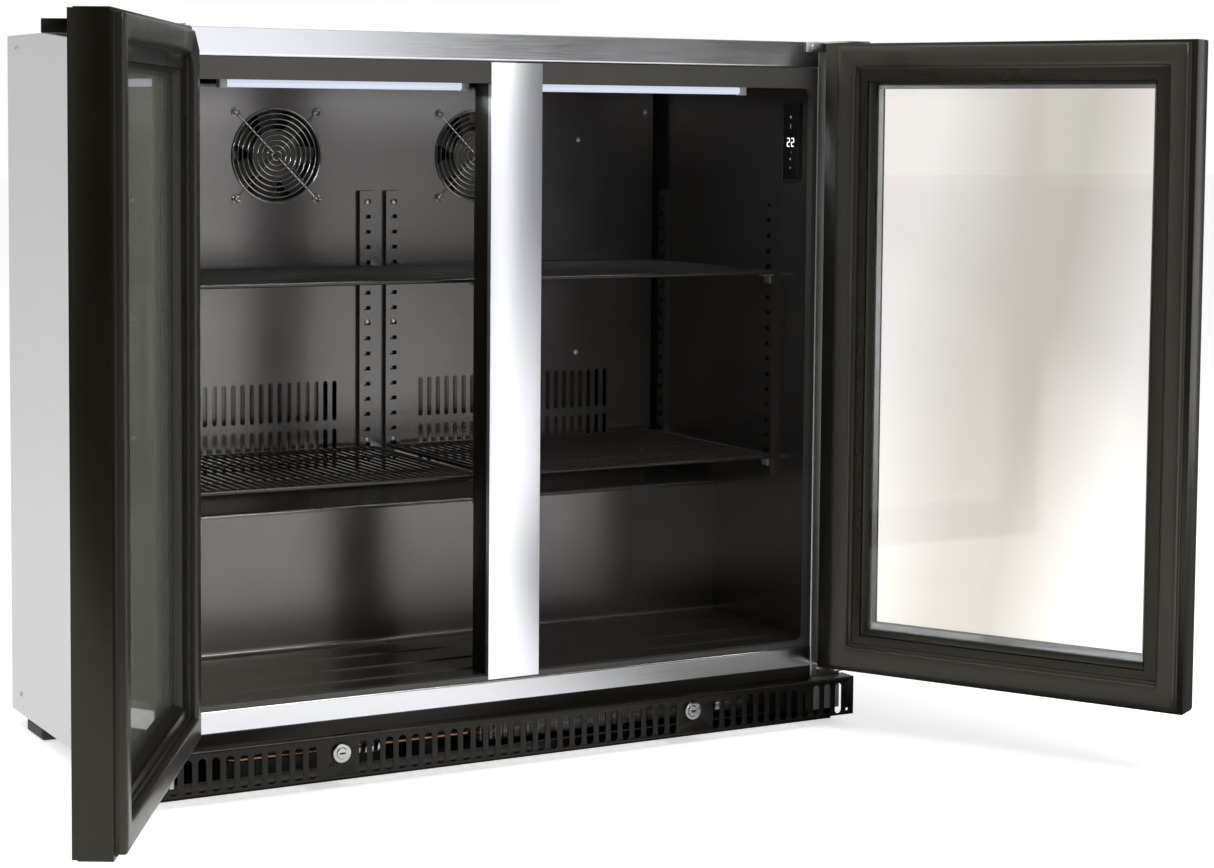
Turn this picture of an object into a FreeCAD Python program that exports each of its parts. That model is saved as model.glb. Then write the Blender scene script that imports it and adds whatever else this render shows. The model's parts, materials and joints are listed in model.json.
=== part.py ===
import FreeCAD, Part
import math
import os

# Two-door under counter fridge, in millimetres.
# +X is to the right, +Y to the back, +Z up.  The front steel faces lie in the plane Y = 0,
# the middle of the cabinet is X = 0 and the floor is Z = 0.  The doors stand open.  At the end
# everything moves back or forward together, so that the frame's origin is on the floor in the
# middle of the space that the open fridge takes up.

# ---- driving dimensions ----------------------------------------------------------------
WIDTH = 900.0               # outside of the steel cabinet
DEPTH = 445.0               # cabinet without its doors
TOP = 823.0                 # upper face of the top panel
FOOT_HEIGHT = 16.0          # feet, and so the underside of the cabinet
SHEET = 1.0                 # steel sheet

STILE = 45.0                # width of the steel strip beside the doors' openings
TOP_BAND = 31.0             # height of the steel band above the opening
BOTTOM_BAND_LOW = 68.5      # the steel band under the opening
BOTTOM_BAND_HIGH = 95.5
LIP = 9.0                   # depth of the lip that every front strip is folded back to
FOLD = 3.0                  # outside radius of the folds

LINER_HALF = 411.0          # inner liner, half its width inside
LINER_FLOOR = 101.0
LINER_CEILING = 775.0
LINER_BACK = 408.0
LINER_FRONT = 12.0
LINER_ROUND = 6.0
STEP_FRONT = 231.0          # the raised step in front of the machine compartment
STEP_TOP = 268.7

TRIM_SIDE = 399.0           # mouth of the plastic trim round the opening
TRIM_TOP = 768.0
TRIM_ROUND = 8.0

POST_HALF = 31.3            # centre post behind the steel mullion cover
POST_DEPTH = 43.0
COVER_HALF = 32.3

EVAP_COVER = 372.8          # front face of the evaporator cover
EVAP_COVER_HALF = 398.0
EVAP_COVER_LOW = 275.0
EVAP_COVER_HIGH = 766.0
FAN_X = 137.0
FAN_Z = 683.0
FAN_SIZE = 120.0
FAN_DEPTH = 25.0
FAN_SCREW = 52.4            # half the spacing of the fan's screws

SLOT_PITCH = 12.2           # louvres in the evaporator cover
SLOT_COUNT = 23
SLOT_WIDTH = 6.0
SLOT_HEIGHT = 50.0
SLOT_FIRST_X = 59.4
SLOT_ROWS = (318.0, 378.0)

RAIL_WIDTH = 20.5           # slotted shelf rails
RAIL_DEPTH = 7.0
RAIL_LOW = 290.0
RAIL_HIGH = 639.0
RAIL_PITCH = 19.0
RAIL_SHEET = 1.2
BACK_RAIL_X = 18.0
SIDE_RAIL_Y = (101.0, 357.0)

SHELF_FRONT = 66.0          # wire shelves
SHELF_BACK = 358.0
SHELF_INNER_X = 9.0
SHELF_OUTER_X = 397.0
SHELF_LEVELS = (547.0, 321.0)
SHELF_WIRE = 1.3
SHELF_EDGE = 2.5
SHELF_PITCH = 11.5

KICK_FACE = -24.0           # kick plate with its ledge
KICK_HALF = 453.0
KICK_LOW = 12.0
KICK_TOP = 58.0
KICK_SHEET = 1.2
KICK_PITCH = 15.8
KICK_SLOT_WIDTH = 9.3
KICK_SLOT_HEIGHT = 37.0
KICK_SLOT_Z = 33.0
KICK_INNER = 26             # slots between the locks
KICK_OUTER = 12             # slots outside each lock
KICK_OUTER_X = 257.0
LOCK_X = 223.5
LOCK_Z = 40.0
CAM_LENGTH = 50.0
CAM_Y = -16.0               # front face of the cams
CAM_THICK = 2.0

DOOR_WIDTH = 447.0          # doors
DOOR_LOW = 76.0
DOOR_HIGH = 820.3
DOOR_THICK = 37.0
GASKET = 11.5
DOOR_BACK = -12.0           # the door's inner face when it is shut
# margins of rings in the door: free side, hinge side, low and high
FRONT_INSET = (0.6, 0.6, 0.9, 0.9)
DOOR_RING = (44.0, 54.0, 44.0, 44.0)
BEAD_RING = (50.0, 60.0, 50.0, 48.5)
SPACER_RING = (52.5, 62.0, 58.0, 53.0)
SEAL_BASE = ((6.0, 18.0, 3.0, 3.0), (29.5, 44.0, 34.0, 30.0))
SEAL_BAND = ((7.0, 19.5, 4.5, 10.2), (28.0, 42.5, 32.5, 28.5))
PANE = 4.0
GLASS_FRONT = 5.0           # from the door's outer face to the glass unit
GLASS_UNIT = 20.0
HINGE_IN = 22.0             # pivot from the door's hinge edge
HINGE_DOWN = 11.5           # pivot from the door's outer face
PIN = 4.0
RUNNING = 0.05
DOOR_OPEN = 119.3           # the angle the doors stand open at

COMPARTMENT_FRONT = 262.0   # machine compartment at the bottom of the back
COMPARTMENT_TOP = 238.0
UNDERFLOOR = 61.0

ORIGIN_Y = 18.7             # the frame's origin, back from the front steel plane

HALF = WIDTH / 2
UP = FreeCAD.Vector(0, 0, 1)
BACKWARDS = FreeCAD.Vector(0, 1, 0)
SIDEWAYS = FreeCAD.Vector(1, 0, 0)
SIDES = (-1, 1)
SIDE_NAME = {-1: "left", 1: "right"}


# ---- helpers ---------------------------------------------------------------------------
def vec(x, y, z):
    return FreeCAD.Vector(x, y, z)


def box(x0, x1, y0, y1, z0, z1):
    """A block between two corners, given in any order."""
    low = vec(min(x0, x1), min(y0, y1), min(z0, z1))
    return Part.makeBox(abs(x1 - x0), abs(y1 - y0), abs(z1 - z0), low)


def rod(start, direction, length, radius):
    return Part.makeCylinder(radius, length, start, direction)


def joined(shapes):
    """One solid made of overlapping or touching shapes."""
    first, rest = shapes[0], shapes[1:]
    return first.fuse(rest).removeSplitter() if rest else first


def welded(shapes):
    """One solid made of crossing wires."""
    return shapes[0].fuse(shapes[1:])


def ring_band(centre, radius, half_width, depth):
    """A flat ring on an axis along Y, from the centre's plane back."""
    outer = rod(centre, BACKWARDS, depth, radius + half_width)
    return outer.cut(rod(centre - BACKWARDS, BACKWARDS, depth + 2, radius - half_width))


def group(shapes):
    """Separate solids that share one node."""
    return Part.makeCompound(shapes)


def mirrored(shape):
    """The same shape on the other side of the middle."""
    return shape.mirror(vec(0, 0, 0), SIDEWAYS)


def outline(points, plane):
    """A face from corner points.  A point with three numbers is a corner rounded by the third."""
    lift = {"xy": lambda a, b: vec(a, b, 0), "xz": lambda a, b: vec(a, 0, b),
            "yz": lambda a, b: vec(0, a, b)}[plane]
    edges, ends = [], []
    count = len(points)
    for i in range(count):
        here = lift(*points[i][:2])
        if len(points[i]) == 2:
            ends.append((here, here))
            continue
        radius = points[i][2]
        before = (lift(*points[i - 1][:2]) - here).normalize()
        after = (lift(*points[(i + 1) % count][:2]) - here).normalize()
        half = before.getAngle(after) / 2
        cut = radius / math.tan(half)
        first, last = here + before * cut, here + after * cut
        centre = here + (before + after).normalize() * (radius / math.sin(half))
        middle = centre + (here - centre).normalize() * radius
        edges.append(Part.Arc(first, middle, last).toShape())
        ends.append((first, last))
    for i in range(count):
        start, stop = ends[i][1], ends[(i + 1) % count][0]
        if start.distanceToPoint(stop) > 1e-6:
            edges.append(Part.LineSegment(start, stop).toShape())
    return Part.Face(Part.Wire(Part.__sortEdges__(edges)))


def rounded_plate(x0, x1, z0, z1, radius, y0, y1):
    """An upright plate with rounded corners, from y0 back to y1."""
    face = outline([(x0, z0, radius), (x1, z0, radius), (x1, z1, radius), (x0, z1, radius)], "xz")
    face.translate(vec(0, y0, 0))
    return face.extrude(vec(0, y1 - y0, 0))


def slot(x, z, width, height, y0, y1):
    """An upright obround, used to cut a louvre."""
    r = width / 2
    straight = height / 2 - r
    body = box(x - r, x + r, y0, y1, z - straight, z + straight)
    ends = [rod(vec(x, y0, z + s * straight), BACKWARDS, y1 - y0, r) for s in SIDES]
    return joined([body] + ends)


def pipe(points, radius, bend):
    """A tube along straight runs joined by round bends."""
    places = [vec(*p) for p in points]
    edges, start = [], places[0]
    for before, corner, after in zip(places, places[1:], places[2:]):
        back, on = (before - corner).normalize(), (after - corner).normalize()
        half = back.getAngle(on) / 2
        first, last = corner + back * (bend / math.tan(half)), corner + on * (bend / math.tan(half))
        centre = corner + (back + on).normalize() * (bend / math.sin(half))
        middle = centre + (corner - centre).normalize() * bend
        edges += [Part.LineSegment(start, first).toShape(), Part.Arc(first, middle, last).toShape()]
        start = last
    edges.append(Part.LineSegment(start, places[-1]).toShape())
    section = Part.Wire(Part.makeCircle(radius, places[0], places[1] - places[0]))
    return Part.Wire(edges).makePipeShell([section], True, True)


# ---- cabinet shell ---------------------------------------------------------------------
def side_panel(side):
    """A side sheet folded round to the front as the stile, with a lip into the opening."""
    inner = HALF - STILE
    f, t = FOLD, SHEET
    points = [
        (inner, LIP), (inner, 0, f), (HALF, 0, f), (HALF, DEPTH), (HALF - t, DEPTH),
        (HALF - t, t, f - t), (inner + t, t, f - t), (inner + t, LIP)]
    sheet = outline(points, "xy")
    sheet.translate(vec(0, 0, FOOT_HEIGHT))
    shape = sheet.extrude(vec(0, 0, TOP - SHEET - FOOT_HEIGHT))
    return shape if side > 0 else mirrored(shape)


def top_panel():
    return box(-HALF, HALF, 0, DEPTH, TOP - SHEET, TOP)


def folded_band(low, high, lip_low, lip_high):
    """A front band between the stiles, with its edges folded back."""
    reach = HALF - STILE
    f, t = FOLD, SHEET
    points = []
    points += [(LIP, low), (0, low, f)] if lip_low else [(0, low)]
    points += [(0, high, f), (LIP, high)] if lip_high else [(0, high)]
    points += [(LIP, high - t), (t, high - t, f - t)] if lip_high else [(t, high)]
    points += [(t, low + t, f - t), (LIP, low + t)] if lip_low else [(t, low)]
    face = outline(points, "yz")
    face.translate(vec(-reach, 0, 0))
    return face.extrude(vec(2 * reach, 0, 0))


def front_bands():
    upper = folded_band(TOP - TOP_BAND, TOP - SHEET, True, False)
    lower = folded_band(BOTTOM_BAND_LOW, BOTTOM_BAND_HIGH, True, True)
    return group([upper, lower])


def back_panel():
    return box(-HALF + SHEET, HALF - SHEET, DEPTH - SHEET, DEPTH, COMPARTMENT_TOP, TOP - SHEET)


def compartment_panel():
    """The folded sheet under the foam and round the machine compartment."""
    x = HALF - SHEET
    floor = box(-x, x, LIP, COMPARTMENT_FRONT, UNDERFLOOR, UNDERFLOOR + SHEET)
    wall = box(-x, x, COMPARTMENT_FRONT - SHEET, COMPARTMENT_FRONT, UNDERFLOOR, COMPARTMENT_TOP)
    roof = box(-x, x, COMPARTMENT_FRONT - SHEET, DEPTH - SHEET,
               COMPARTMENT_TOP - SHEET, COMPARTMENT_TOP)
    return joined([floor, wall, roof])


def base_tray():
    """The steel tray that carries the machinery, on the feet."""
    x = HALF - SHEET
    plate = box(-x, x, LIP, DEPTH - SHEET, FOOT_HEIGHT, FOOT_HEIGHT + 1.5)
    rim = box(-x, x, DEPTH - 2 * SHEET, DEPTH - SHEET, FOOT_HEIGHT, FOOT_HEIGHT + 5)
    return joined([plate, rim])


def feet():
    pads = []
    for x in SIDES:
        for y in (60.0, 359.0):
            pad = box(x * 434 - 15, x * 434 + 15, y - 31, y + 31, 0, FOOT_HEIGHT)
            pads.append(pad.makeFillet(4, pad.Edges))
    return group(pads)


# ---- liner, foam and trim --------------------------------------------------------------
def liner_block(grow):
    """The space inside the liner, or with grow = SHEET its outer skin."""
    r = LINER_ROUND
    points = [
        (LINER_FRONT, LINER_FLOOR - grow),
        (STEP_FRONT + grow, LINER_FLOOR - grow, r + grow),
        (STEP_FRONT + grow, STEP_TOP - grow, r - grow),
        (LINER_BACK + grow, STEP_TOP - grow, r + grow),
        (LINER_BACK + grow, LINER_CEILING + grow, r + grow),
        (LINER_FRONT, LINER_CEILING + grow)]
    face = outline(points, "yz")
    half = LINER_HALF + grow
    face.translate(vec(-half, 0, 0))
    return face.extrude(vec(2 * half, 0, 0))


def inner_liner():
    """The liner, with shallow ribs pressed across its floor."""
    shell = liner_block(SHEET).cut(liner_block(0))
    ribs = []
    for y in (50.0, 106.0, 167.0):
        rib = box(-380, 380, y - 3, y + 3, LINER_FLOOR - SHEET / 2, LINER_FLOOR + 1.2)
        ribs.append(rib)
    return joined([shell] + ribs)


def foam_insulation():
    x = HALF - SHEET
    block = box(-x, x, LINER_FRONT, DEPTH - SHEET, UNDERFLOOR + SHEET, TOP - SHEET)
    machine = box(-x, x, COMPARTMENT_FRONT - SHEET, DEPTH, UNDERFLOOR, COMPARTMENT_TOP)
    return block.cut([liner_block(SHEET), machine])


def breaker_trim():
    """The plastic ring that bridges the steel front and the liner."""
    side = HALF - STILE
    ring = box(-side, side, SHEET, LINER_FRONT, BOTTOM_BAND_HIGH, TOP - TOP_BAND)
    mouth = rounded_plate(-TRIM_SIDE, TRIM_SIDE, LINER_FLOOR, TRIM_TOP, TRIM_ROUND, 0, LINER_FRONT + 1)
    h = LINER_HALF + SHEET
    flange = box(-h, h, LIP, LINER_FRONT, LINER_FLOOR - SHEET, LINER_CEILING + SHEET)
    return joined([ring, flange]).cut(mouth)


def centre_post():
    return box(-POST_HALF, POST_HALF, SHEET, POST_DEPTH, LINER_FLOOR, TRIM_TOP)


def mullion_cover():
    """The steel face of the post, with its long edges folded back round it."""
    x = COVER_HALF
    face = box(-x, x, 0, SHEET, BOTTOM_BAND_HIGH + 1, TOP - TOP_BAND - 1)
    lips = [box(s * (x - SHEET), s * x, 0, 8, LINER_FLOOR, TRIM_TOP) for s in SIDES]
    return joined([face] + lips)


# ---- cooling behind the evaporator cover -----------------------------------------------
def louvre_places():
    for s in SIDES:
        for i in range(SLOT_COUNT):
            for z in SLOT_ROWS:
                yield s * (SLOT_FIRST_X + i * SLOT_PITCH), z


def evaporator_cover():
    """The sheet in front of the evaporator, with air slots and a hole for each fan."""
    x, y = EVAP_COVER_HALF, EVAP_COVER
    face = box(-x, x, y, y + SHEET, EVAP_COVER_LOW, EVAP_COVER_HIGH)
    flanges = [box(s * (x - SHEET), s * x, y, LINER_BACK, EVAP_COVER_LOW, EVAP_COVER_HIGH) for s in SIDES]
    cuts = [slot(a, b, SLOT_WIDTH, SLOT_HEIGHT, y - 1, y + 3) for a, b in louvre_places()]
    cuts += [rod(vec(s * FAN_X, y - 1, FAN_Z), BACKWARDS, 3, FAN_SIZE / 2 - 4) for s in SIDES]
    return joined([face] + flanges).cut(group(cuts))


def evaporator_coil():
    """A finned coil: the pack of fins and the return bends at both ends."""
    y0, y1 = EVAP_COVER + 4, LINER_BACK - 3
    fins = box(-300, 300, y0, y1, 432, 604)
    bends = []
    y = (y0 + y1) / 2
    for s in SIDES:
        for i in range(4):
            z = 454 + i * 43
            ring = Part.makeTorus(10, 4, vec(s * 300, y, z), BACKWARDS)
            bends.append(ring)
    return joined([fins] + bends)


def drip_tray():
    y0, y1 = EVAP_COVER + 3, LINER_BACK - 1
    outer = box(-330, 330, y0, y1, 409, 427)
    return outer.cut(box(-329, 329, y0 + 1, y1 - 1, 410, 428))


def fan_frame(side):
    """A square box fan: its housing, four struts, the motor and its shaft."""
    x, y = side * FAN_X, EVAP_COVER + SHEET
    h = FAN_SIZE / 2
    body = box(x - h, x + h, y, y + FAN_DEPTH, FAN_Z - h, FAN_Z + h)
    body = body.cut(rod(vec(x, y - 1, FAN_Z), BACKWARDS, FAN_DEPTH + 2, h - 3))
    motor = rod(vec(x, y + 21, FAN_Z), BACKWARDS, 4, 19)
    shaft = rod(vec(x, y + 8, FAN_Z), BACKWARDS, 14, 1.5)
    struts = []
    for i in range(4):
        strut = box(x - 2, x + 2, y + 22, y + 25, FAN_Z + 15, FAN_Z + h - 1)
        strut.rotate(vec(x, y, FAN_Z), BACKWARDS, 45 + 90 * i)
        struts.append(strut)
    return joined([body, motor, shaft] + struts)


def rotor(centre, hub, tip, depth, blades, bore):
    """A fan rotor on an axis along Y: a hub with twisted blades."""
    x, y, z = centre
    wheel = rod(vec(x, y, z), BACKWARDS, depth, hub)
    vanes = []
    for i in range(blades):
        vane = box(x + hub - 2, x + tip, y + depth / 2 - 1, y + depth / 2 + 1, z - tip / 4.5, z + tip / 4.5)
        vane.rotate(vec(x, y + depth / 2, z), SIDEWAYS, 32)
        vane.rotate(vec(x, y, z), BACKWARDS, 360 / blades * i)
        vanes.append(vane)
    whole = joined([wheel] + vanes)
    limit = rod(vec(x, y, z), BACKWARDS, depth, tip)
    return whole.common(limit).cut(rod(vec(x, y - 1, z), BACKWARDS, depth + 2, bore))


def fan_rotor(side):
    return rotor((side * FAN_X, EVAP_COVER + SHEET + 4, FAN_Z), 30, 54, 15, 7, 1.5 + RUNNING)


def fan_guard(side):
    """Wire rings in front of the fan, carried by four diagonal wires with an eye at each end."""
    x, y = side * FAN_X, EVAP_COVER - 2.2
    reach = FAN_SCREW * math.sqrt(2)
    wires = [ring_band(vec(x, y - 0.9, FAN_Z), 5.8 + 6.5 * i, 0.9, 1.8) for i in range(9)]
    for i in range(4):
        arm = box(x + 6, x + reach - 4, y + 0.4, y + 2.2, FAN_Z - 1.1, FAN_Z + 1.1)
        eye = ring_band(vec(x + reach, y + 0.4, FAN_Z), 4.6, 1.2, 1.8)
        for part in (arm, eye):
            part.rotate(vec(x, y, FAN_Z), BACKWARDS, 45 + 90 * i)
            wires.append(part)
    return welded(wires)


# ---- lights and control ----------------------------------------------------------------
LIGHT_Y = 53.0
LIGHT_Z = 765.0
LIGHT_INNER = 45.0
LIGHT_OUTER = 326.0
LIGHT_R = 4.6


def light_tubes():
    tubes = []
    for s in SIDES:
        start = min(s * LIGHT_INNER, s * LIGHT_OUTER)
        tubes.append(rod(vec(start, LIGHT_Y, LIGHT_Z), SIDEWAYS, LIGHT_OUTER - LIGHT_INNER, LIGHT_R))
    return group(tubes)


def light_holders():
    """A clip at each end of each tube, fixed to the ceiling of the liner."""
    clips = []
    for s in SIDES:
        for x, out in ((LIGHT_INNER, -1), (LIGHT_OUTER, 1)):
            a, b = s * x, s * (x + out * 9)
            clips.append(box(a, b, LIGHT_Y - 5.5, LIGHT_Y + 5.5, LIGHT_Z - 5.5, LINER_CEILING))
    return group(clips)


CONTROL_Y = (43.0, 80.0)
CONTROL_Z = (655.7, 751.3)


def controller_housing():
    x = LINER_HALF
    y0, y1 = CONTROL_Y
    z0, z1 = CONTROL_Z
    shell = box(x - 3, x, y0, y1, z0, z1)
    window = box(x - 4, x - 2, y0 + 2.5, y1 - 2.5, z0 + 2.5, z1 - 2.5)
    return shell.cut(window)


def controller_display():
    x = LINER_HALF
    y0, y1 = CONTROL_Y
    z0, z1 = CONTROL_Z
    return box(x - 2.8, x - 2, y0 + 2.5, y1 - 2.5, z0 + 2.5, z1 - 2.5)


# ---- shelves ---------------------------------------------------------------------------
def rail():
    """A slotted channel standing on the plane Y = 0 and facing -Y, centred on X = 0."""
    w, d, t = RAIL_WIDTH / 2, RAIL_DEPTH, RAIL_SHEET
    channel = box(-w, w, -d, 0, RAIL_LOW, RAIL_HIGH)
    channel = channel.cut(box(-w + t, w - t, -d + t, 1, RAIL_LOW - 1, RAIL_HIGH + 1))
    cuts = []
    for i in range(int((RAIL_HIGH - RAIL_LOW) / RAIL_PITCH)):
        z = RAIL_HIGH - 13 - i * RAIL_PITCH
        cuts.append(box(-4.5, 4.5, -d - 1, -d + t + 1, z - 2.5, z + 2.5))
    return channel.cut(group(cuts))


def placed_rail(x, y, turn):
    shape = rail()
    shape.rotate(vec(0, 0, 0), UP, turn)
    shape.translate(vec(x, y, 0))
    return shape


def shelf_rails():
    """Two rails on each side wall, two on the evaporator cover and two behind the post."""
    rails = []
    for s in SIDES:
        rails.append(placed_rail(s * BACK_RAIL_X, EVAP_COVER, 0))
        rails.append(placed_rail(s * BACK_RAIL_X, POST_DEPTH, 180))
        for y in SIDE_RAIL_Y:
            rails.append(placed_rail(s * LINER_HALF, y, -90 * s))
    return group(rails)


def shelf_clips():
    """Small steel clips hooked in the rails, one under each corner of each shelf."""
    clips = []
    for z in SHELF_LEVELS:
        top = z - 2 * SHELF_EDGE - 0.3
        for s in SIDES:
            for y in SIDE_RAIL_Y:
                x = s * (LINER_HALF - RAIL_DEPTH)
                plate = box(x, x - s * 16, y - 12, y + 6, top - 2, top)
                hook = box(x, x - s * 2, y - 6, y + 6, top - 12, top)
                clips.append(joined([plate, hook]))
            x = s * BACK_RAIL_X
            for y, way in ((EVAP_COVER - RAIL_DEPTH, -1), (POST_DEPTH + RAIL_DEPTH, 1)):
                plate = box(x - 6, x + 6, y, y + way * 18, top - 2, top)
                hook = box(x - 6, x + 6, y, y + way * 2, top - 12, top)
                clips.append(joined([plate, hook]))
    return group(clips)


def wire_shelf(side, level):
    """A welded shelf: a rod round the edge, two cross rods under it and close wires on top."""
    z = level - SHELF_EDGE
    x0, x1 = SHELF_INNER_X + SHELF_EDGE, SHELF_OUTER_X - SHELF_EDGE
    y0, y1 = SHELF_FRONT + SHELF_EDGE, SHELF_BACK - SHELF_EDGE
    rods = []
    for y in (y0, y1):
        rods.append(rod(vec(x0, y, z), SIDEWAYS, x1 - x0, SHELF_EDGE))
    for x in (x0, x1):
        rods.append(rod(vec(x, y0, z), BACKWARDS, y1 - y0, SHELF_EDGE))
        rods += [Part.makeSphere(SHELF_EDGE, vec(x, y, z)) for y in (y0, y1)]
    for y in (y0 + 75, y1 - 75):
        rods.append(rod(vec(x0, y, z), SIDEWAYS, x1 - x0, 2.0))
    count = int((x1 - x0) / SHELF_PITCH)
    first = (x0 + x1 - (count - 1) * SHELF_PITCH) / 2
    for i in range(count):
        x = first + i * SHELF_PITCH
        rods.append(rod(vec(x, y0, z + 1.6), BACKWARDS, y1 - y0, SHELF_WIRE))
    shape = welded(rods)
    return shape if side > 0 else mirrored(shape)


# ---- kick plate and locks --------------------------------------------------------------
def kick_slots():
    for i in range(KICK_INNER):
        yield (i - (KICK_INNER - 1) / 2) * KICK_PITCH
    for i in range(KICK_OUTER):
        for s in SIDES:
            yield s * (KICK_OUTER_X + i * KICK_PITCH)


def kick_plate():
    """The slotted plate under the doors, folded back as a ledge and up behind the band."""
    y, t = KICK_FACE, KICK_SHEET
    face = box(-KICK_HALF, KICK_HALF, y, y + t, KICK_LOW, KICK_TOP)
    ledge = box(-KICK_HALF, KICK_HALF, y, -0.4, KICK_TOP - t, KICK_TOP)
    flange = box(-HALF + STILE + 1, HALF - STILE - 1, -1.6, -0.4, KICK_TOP - t, BOTTOM_BAND_LOW + 2)
    plate = joined([face, ledge, flange])
    cuts = [slot(x, KICK_SLOT_Z, KICK_SLOT_WIDTH, KICK_SLOT_HEIGHT, y - 1, y + 3) for x in kick_slots()]
    for s in SIDES:
        cuts.append(rod(vec(s * LOCK_X, y - 1, LOCK_Z), BACKWARDS, 4, 9))
        cuts.append(rod(vec(s * 443.7, y - 1, 18.5), BACKWARDS, 4, 2))
        x = s * LOCK_X
        cuts.append(box(x - 9, x + 52, CAM_Y - 1.5, CAM_Y + CAM_THICK + 1.5, KICK_TOP - 5, KICK_TOP + 1))
    return plate.cut(group(cuts))


def lock_housings():
    """The fixed sleeve of each lock, held in the plate by its rim and a nut."""
    sleeves = []
    for s in SIDES:
        x = s * LOCK_X
        rim = rod(vec(x, KICK_FACE - 3, LOCK_Z), BACKWARDS, 3, 10.5)
        neck = rod(vec(x, KICK_FACE - 1, LOCK_Z), BACKWARDS, 8, 9)
        bore = rod(vec(x, KICK_FACE - 5, LOCK_Z), BACKWARDS, 20, 6)
        nut = rod(vec(x, KICK_FACE + KICK_SHEET, LOCK_Z), BACKWARDS, 2.4, 12)
        sleeves.append(joined([rim, neck, nut]).cut(bore))
    return group(sleeves)


def lock_plug(side):
    """The turning plug of a lock, with its key slot and the cam that rises through the ledge."""
    x = side * LOCK_X
    plug = rod(vec(x, KICK_FACE - 4, LOCK_Z), BACKWARDS, CAM_Y - KICK_FACE + 4, 6 - RUNNING)
    key = box(x - 3.4, x + 3.4, KICK_FACE - 5, KICK_FACE + 2, LOCK_Z - 0.9, LOCK_Z + 0.9)
    arm = box(x, x + CAM_LENGTH - 5, CAM_Y, CAM_Y + CAM_THICK, LOCK_Z - 5, LOCK_Z + 5)
    tip = rod(vec(x + CAM_LENGTH - 5, CAM_Y, LOCK_Z), BACKWARDS, CAM_THICK, 5)
    root = rod(vec(x, CAM_Y, LOCK_Z), BACKWARDS, CAM_THICK, 7)
    return joined([plug, arm, tip, root]).cut(key)


# ---- machine compartment ---------------------------------------------------------------
def compressor():
    """A hermetic compressor: its pot, base plate and terminal cover."""
    x, y, z = -290.0, 352.0, 27.0
    pot = rod(vec(x, y, z + 22), UP, 96, 66)
    lower = Part.makeSphere(66, vec(x, y, z + 66)).common(box(x - 70, x + 70, y - 70, y + 70, z, z + 60))
    upper = Part.makeSphere(80, vec(x, y, z + 92)).common(rod(vec(x, y, z + 110), UP, 70, 66))
    plate = box(x - 95, x + 95, y - 60, y + 60, z - 3, z + 2)
    cover = box(x + 60, x + 92, y - 25, y + 25, z + 50, z + 100)
    return joined([pot, lower, upper, plate, cover])


def compressor_mounts():
    mounts = []
    for sx in SIDES:
        for sy in SIDES:
            at = vec(-290 + sx * 80, 352 + sy * 45, FOOT_HEIGHT + 1.5)
            mounts.append(rod(at, UP, 24 - FOOT_HEIGHT - 1.5, 9))
    return group(mounts)


def condenser_coil():
    """A flat finned coil under the floor, behind the kick plate."""
    fins = box(-30, 330, 26, 126, 20, 56)
    bends = []
    for x in (-30.0, 330.0):
        for i in range(4):
            for z in (29.0, 47.0):
                inlet = x < 0 and (i, z) in ((0, 29.0), (3, 47.0))
                if not inlet:
                    bends.append(Part.makeTorus(8, 3.5, vec(x, 38 + i * 25, z), UP))
    return joined([fins] + bends)


CONDENSER_FAN = (110.0, 398.0, 128.0)


def condenser_fan_shroud():
    """The plate and ring round the condenser fan, with the motor on four arms."""
    x, y, z = CONDENSER_FAN
    plate = box(x - 88, x + 88, y, y + 2, 17.5, 226)
    ring = rod(vec(x, y, z), BACKWARDS, 26, 80).cut(rod(vec(x, y - 1, z), BACKWARDS, 28, 77))
    hole = rod(vec(x, y - 1, z), BACKWARDS, 4, 77)
    motor = rod(vec(x, y - 44, z), BACKWARDS, 38, 32)
    shaft = rod(vec(x, y - 8, z), BACKWARDS, 26, 3)
    arms = []
    for i in range(4):
        arm = box(x - 4, x + 4, y - 14, y - 11, z + 25, z + 84)
        leg = box(x - 4, x + 4, y - 14, y + 1, z + 80.5, z + 84)
        for part in (arm, leg):
            part.rotate(vec(x, y, z), BACKWARDS, 45 + 90 * i)
            arms.append(part)
    return joined([plate.cut(hole), ring, motor, shaft] + arms)


def condenser_fan_rotor():
    x, y, z = CONDENSER_FAN
    return rotor((x, y - 3, z), 18, 72, 22, 5, 3 + RUNNING)


def copper_pipes():
    """Discharge, liquid and suction lines.  Two end in the condenser, two go up into the foam."""
    roof = COMPARTMENT_TOP - SHEET
    discharge = pipe([(-330, 302, 110), (-330, 274, 110), (-330, 274, 29), (-330, 38, 29),
                      (-30, 38, 29)], 3.2, 10.0)
    liquid = pipe([(-352, 278, roof), (-352, 278, 47), (-352, 20, 47), (-60, 20, 47),
                   (-60, 113, 47), (-30, 113, 47)], 2.4, 9.0)
    suction = pipe([(-248, 308, 120), (-248, 276, 120), (-180, 276, 120), (-180, 276, 225),
                    (-180, 400, 225), (-180, 400, roof)], 4.0, 5.5)
    return group([discharge, liquid, suction])


def condensate_tray():
    outer = box(230, 400, 290, 430, 17.5, 50)
    return outer.cut(box(231.5, 398.5, 291.5, 428.5, 19, 51))


def electrical_box():
    inner = HALF - SHEET
    shell = box(inner - 90, inner, 300, 420, 96, 190)
    edges = [e for e in shell.Edges if e.BoundBox.XMax < inner - 80]
    return shell.makeFillet(4, edges)


def rear_grille():
    """The louvred sheet that closes the machine compartment."""
    y = DEPTH - SHEET
    plate = box(-HALF + SHEET, HALF - SHEET, y, DEPTH, FOOT_HEIGHT + 6, COMPARTMENT_TOP)
    cuts = []
    for i in range(40):
        x = -351 + i * 18
        for z in (90.0, 170.0):
            if not (x > 320 and z < 100):
                cuts.append(slot(x, z, 6, 56, y - 1, DEPTH + 1))
    cuts.append(rod(vec(370, y - 1, 60), BACKWARDS, 4, 8))
    return plate.cut(group(cuts))


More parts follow.
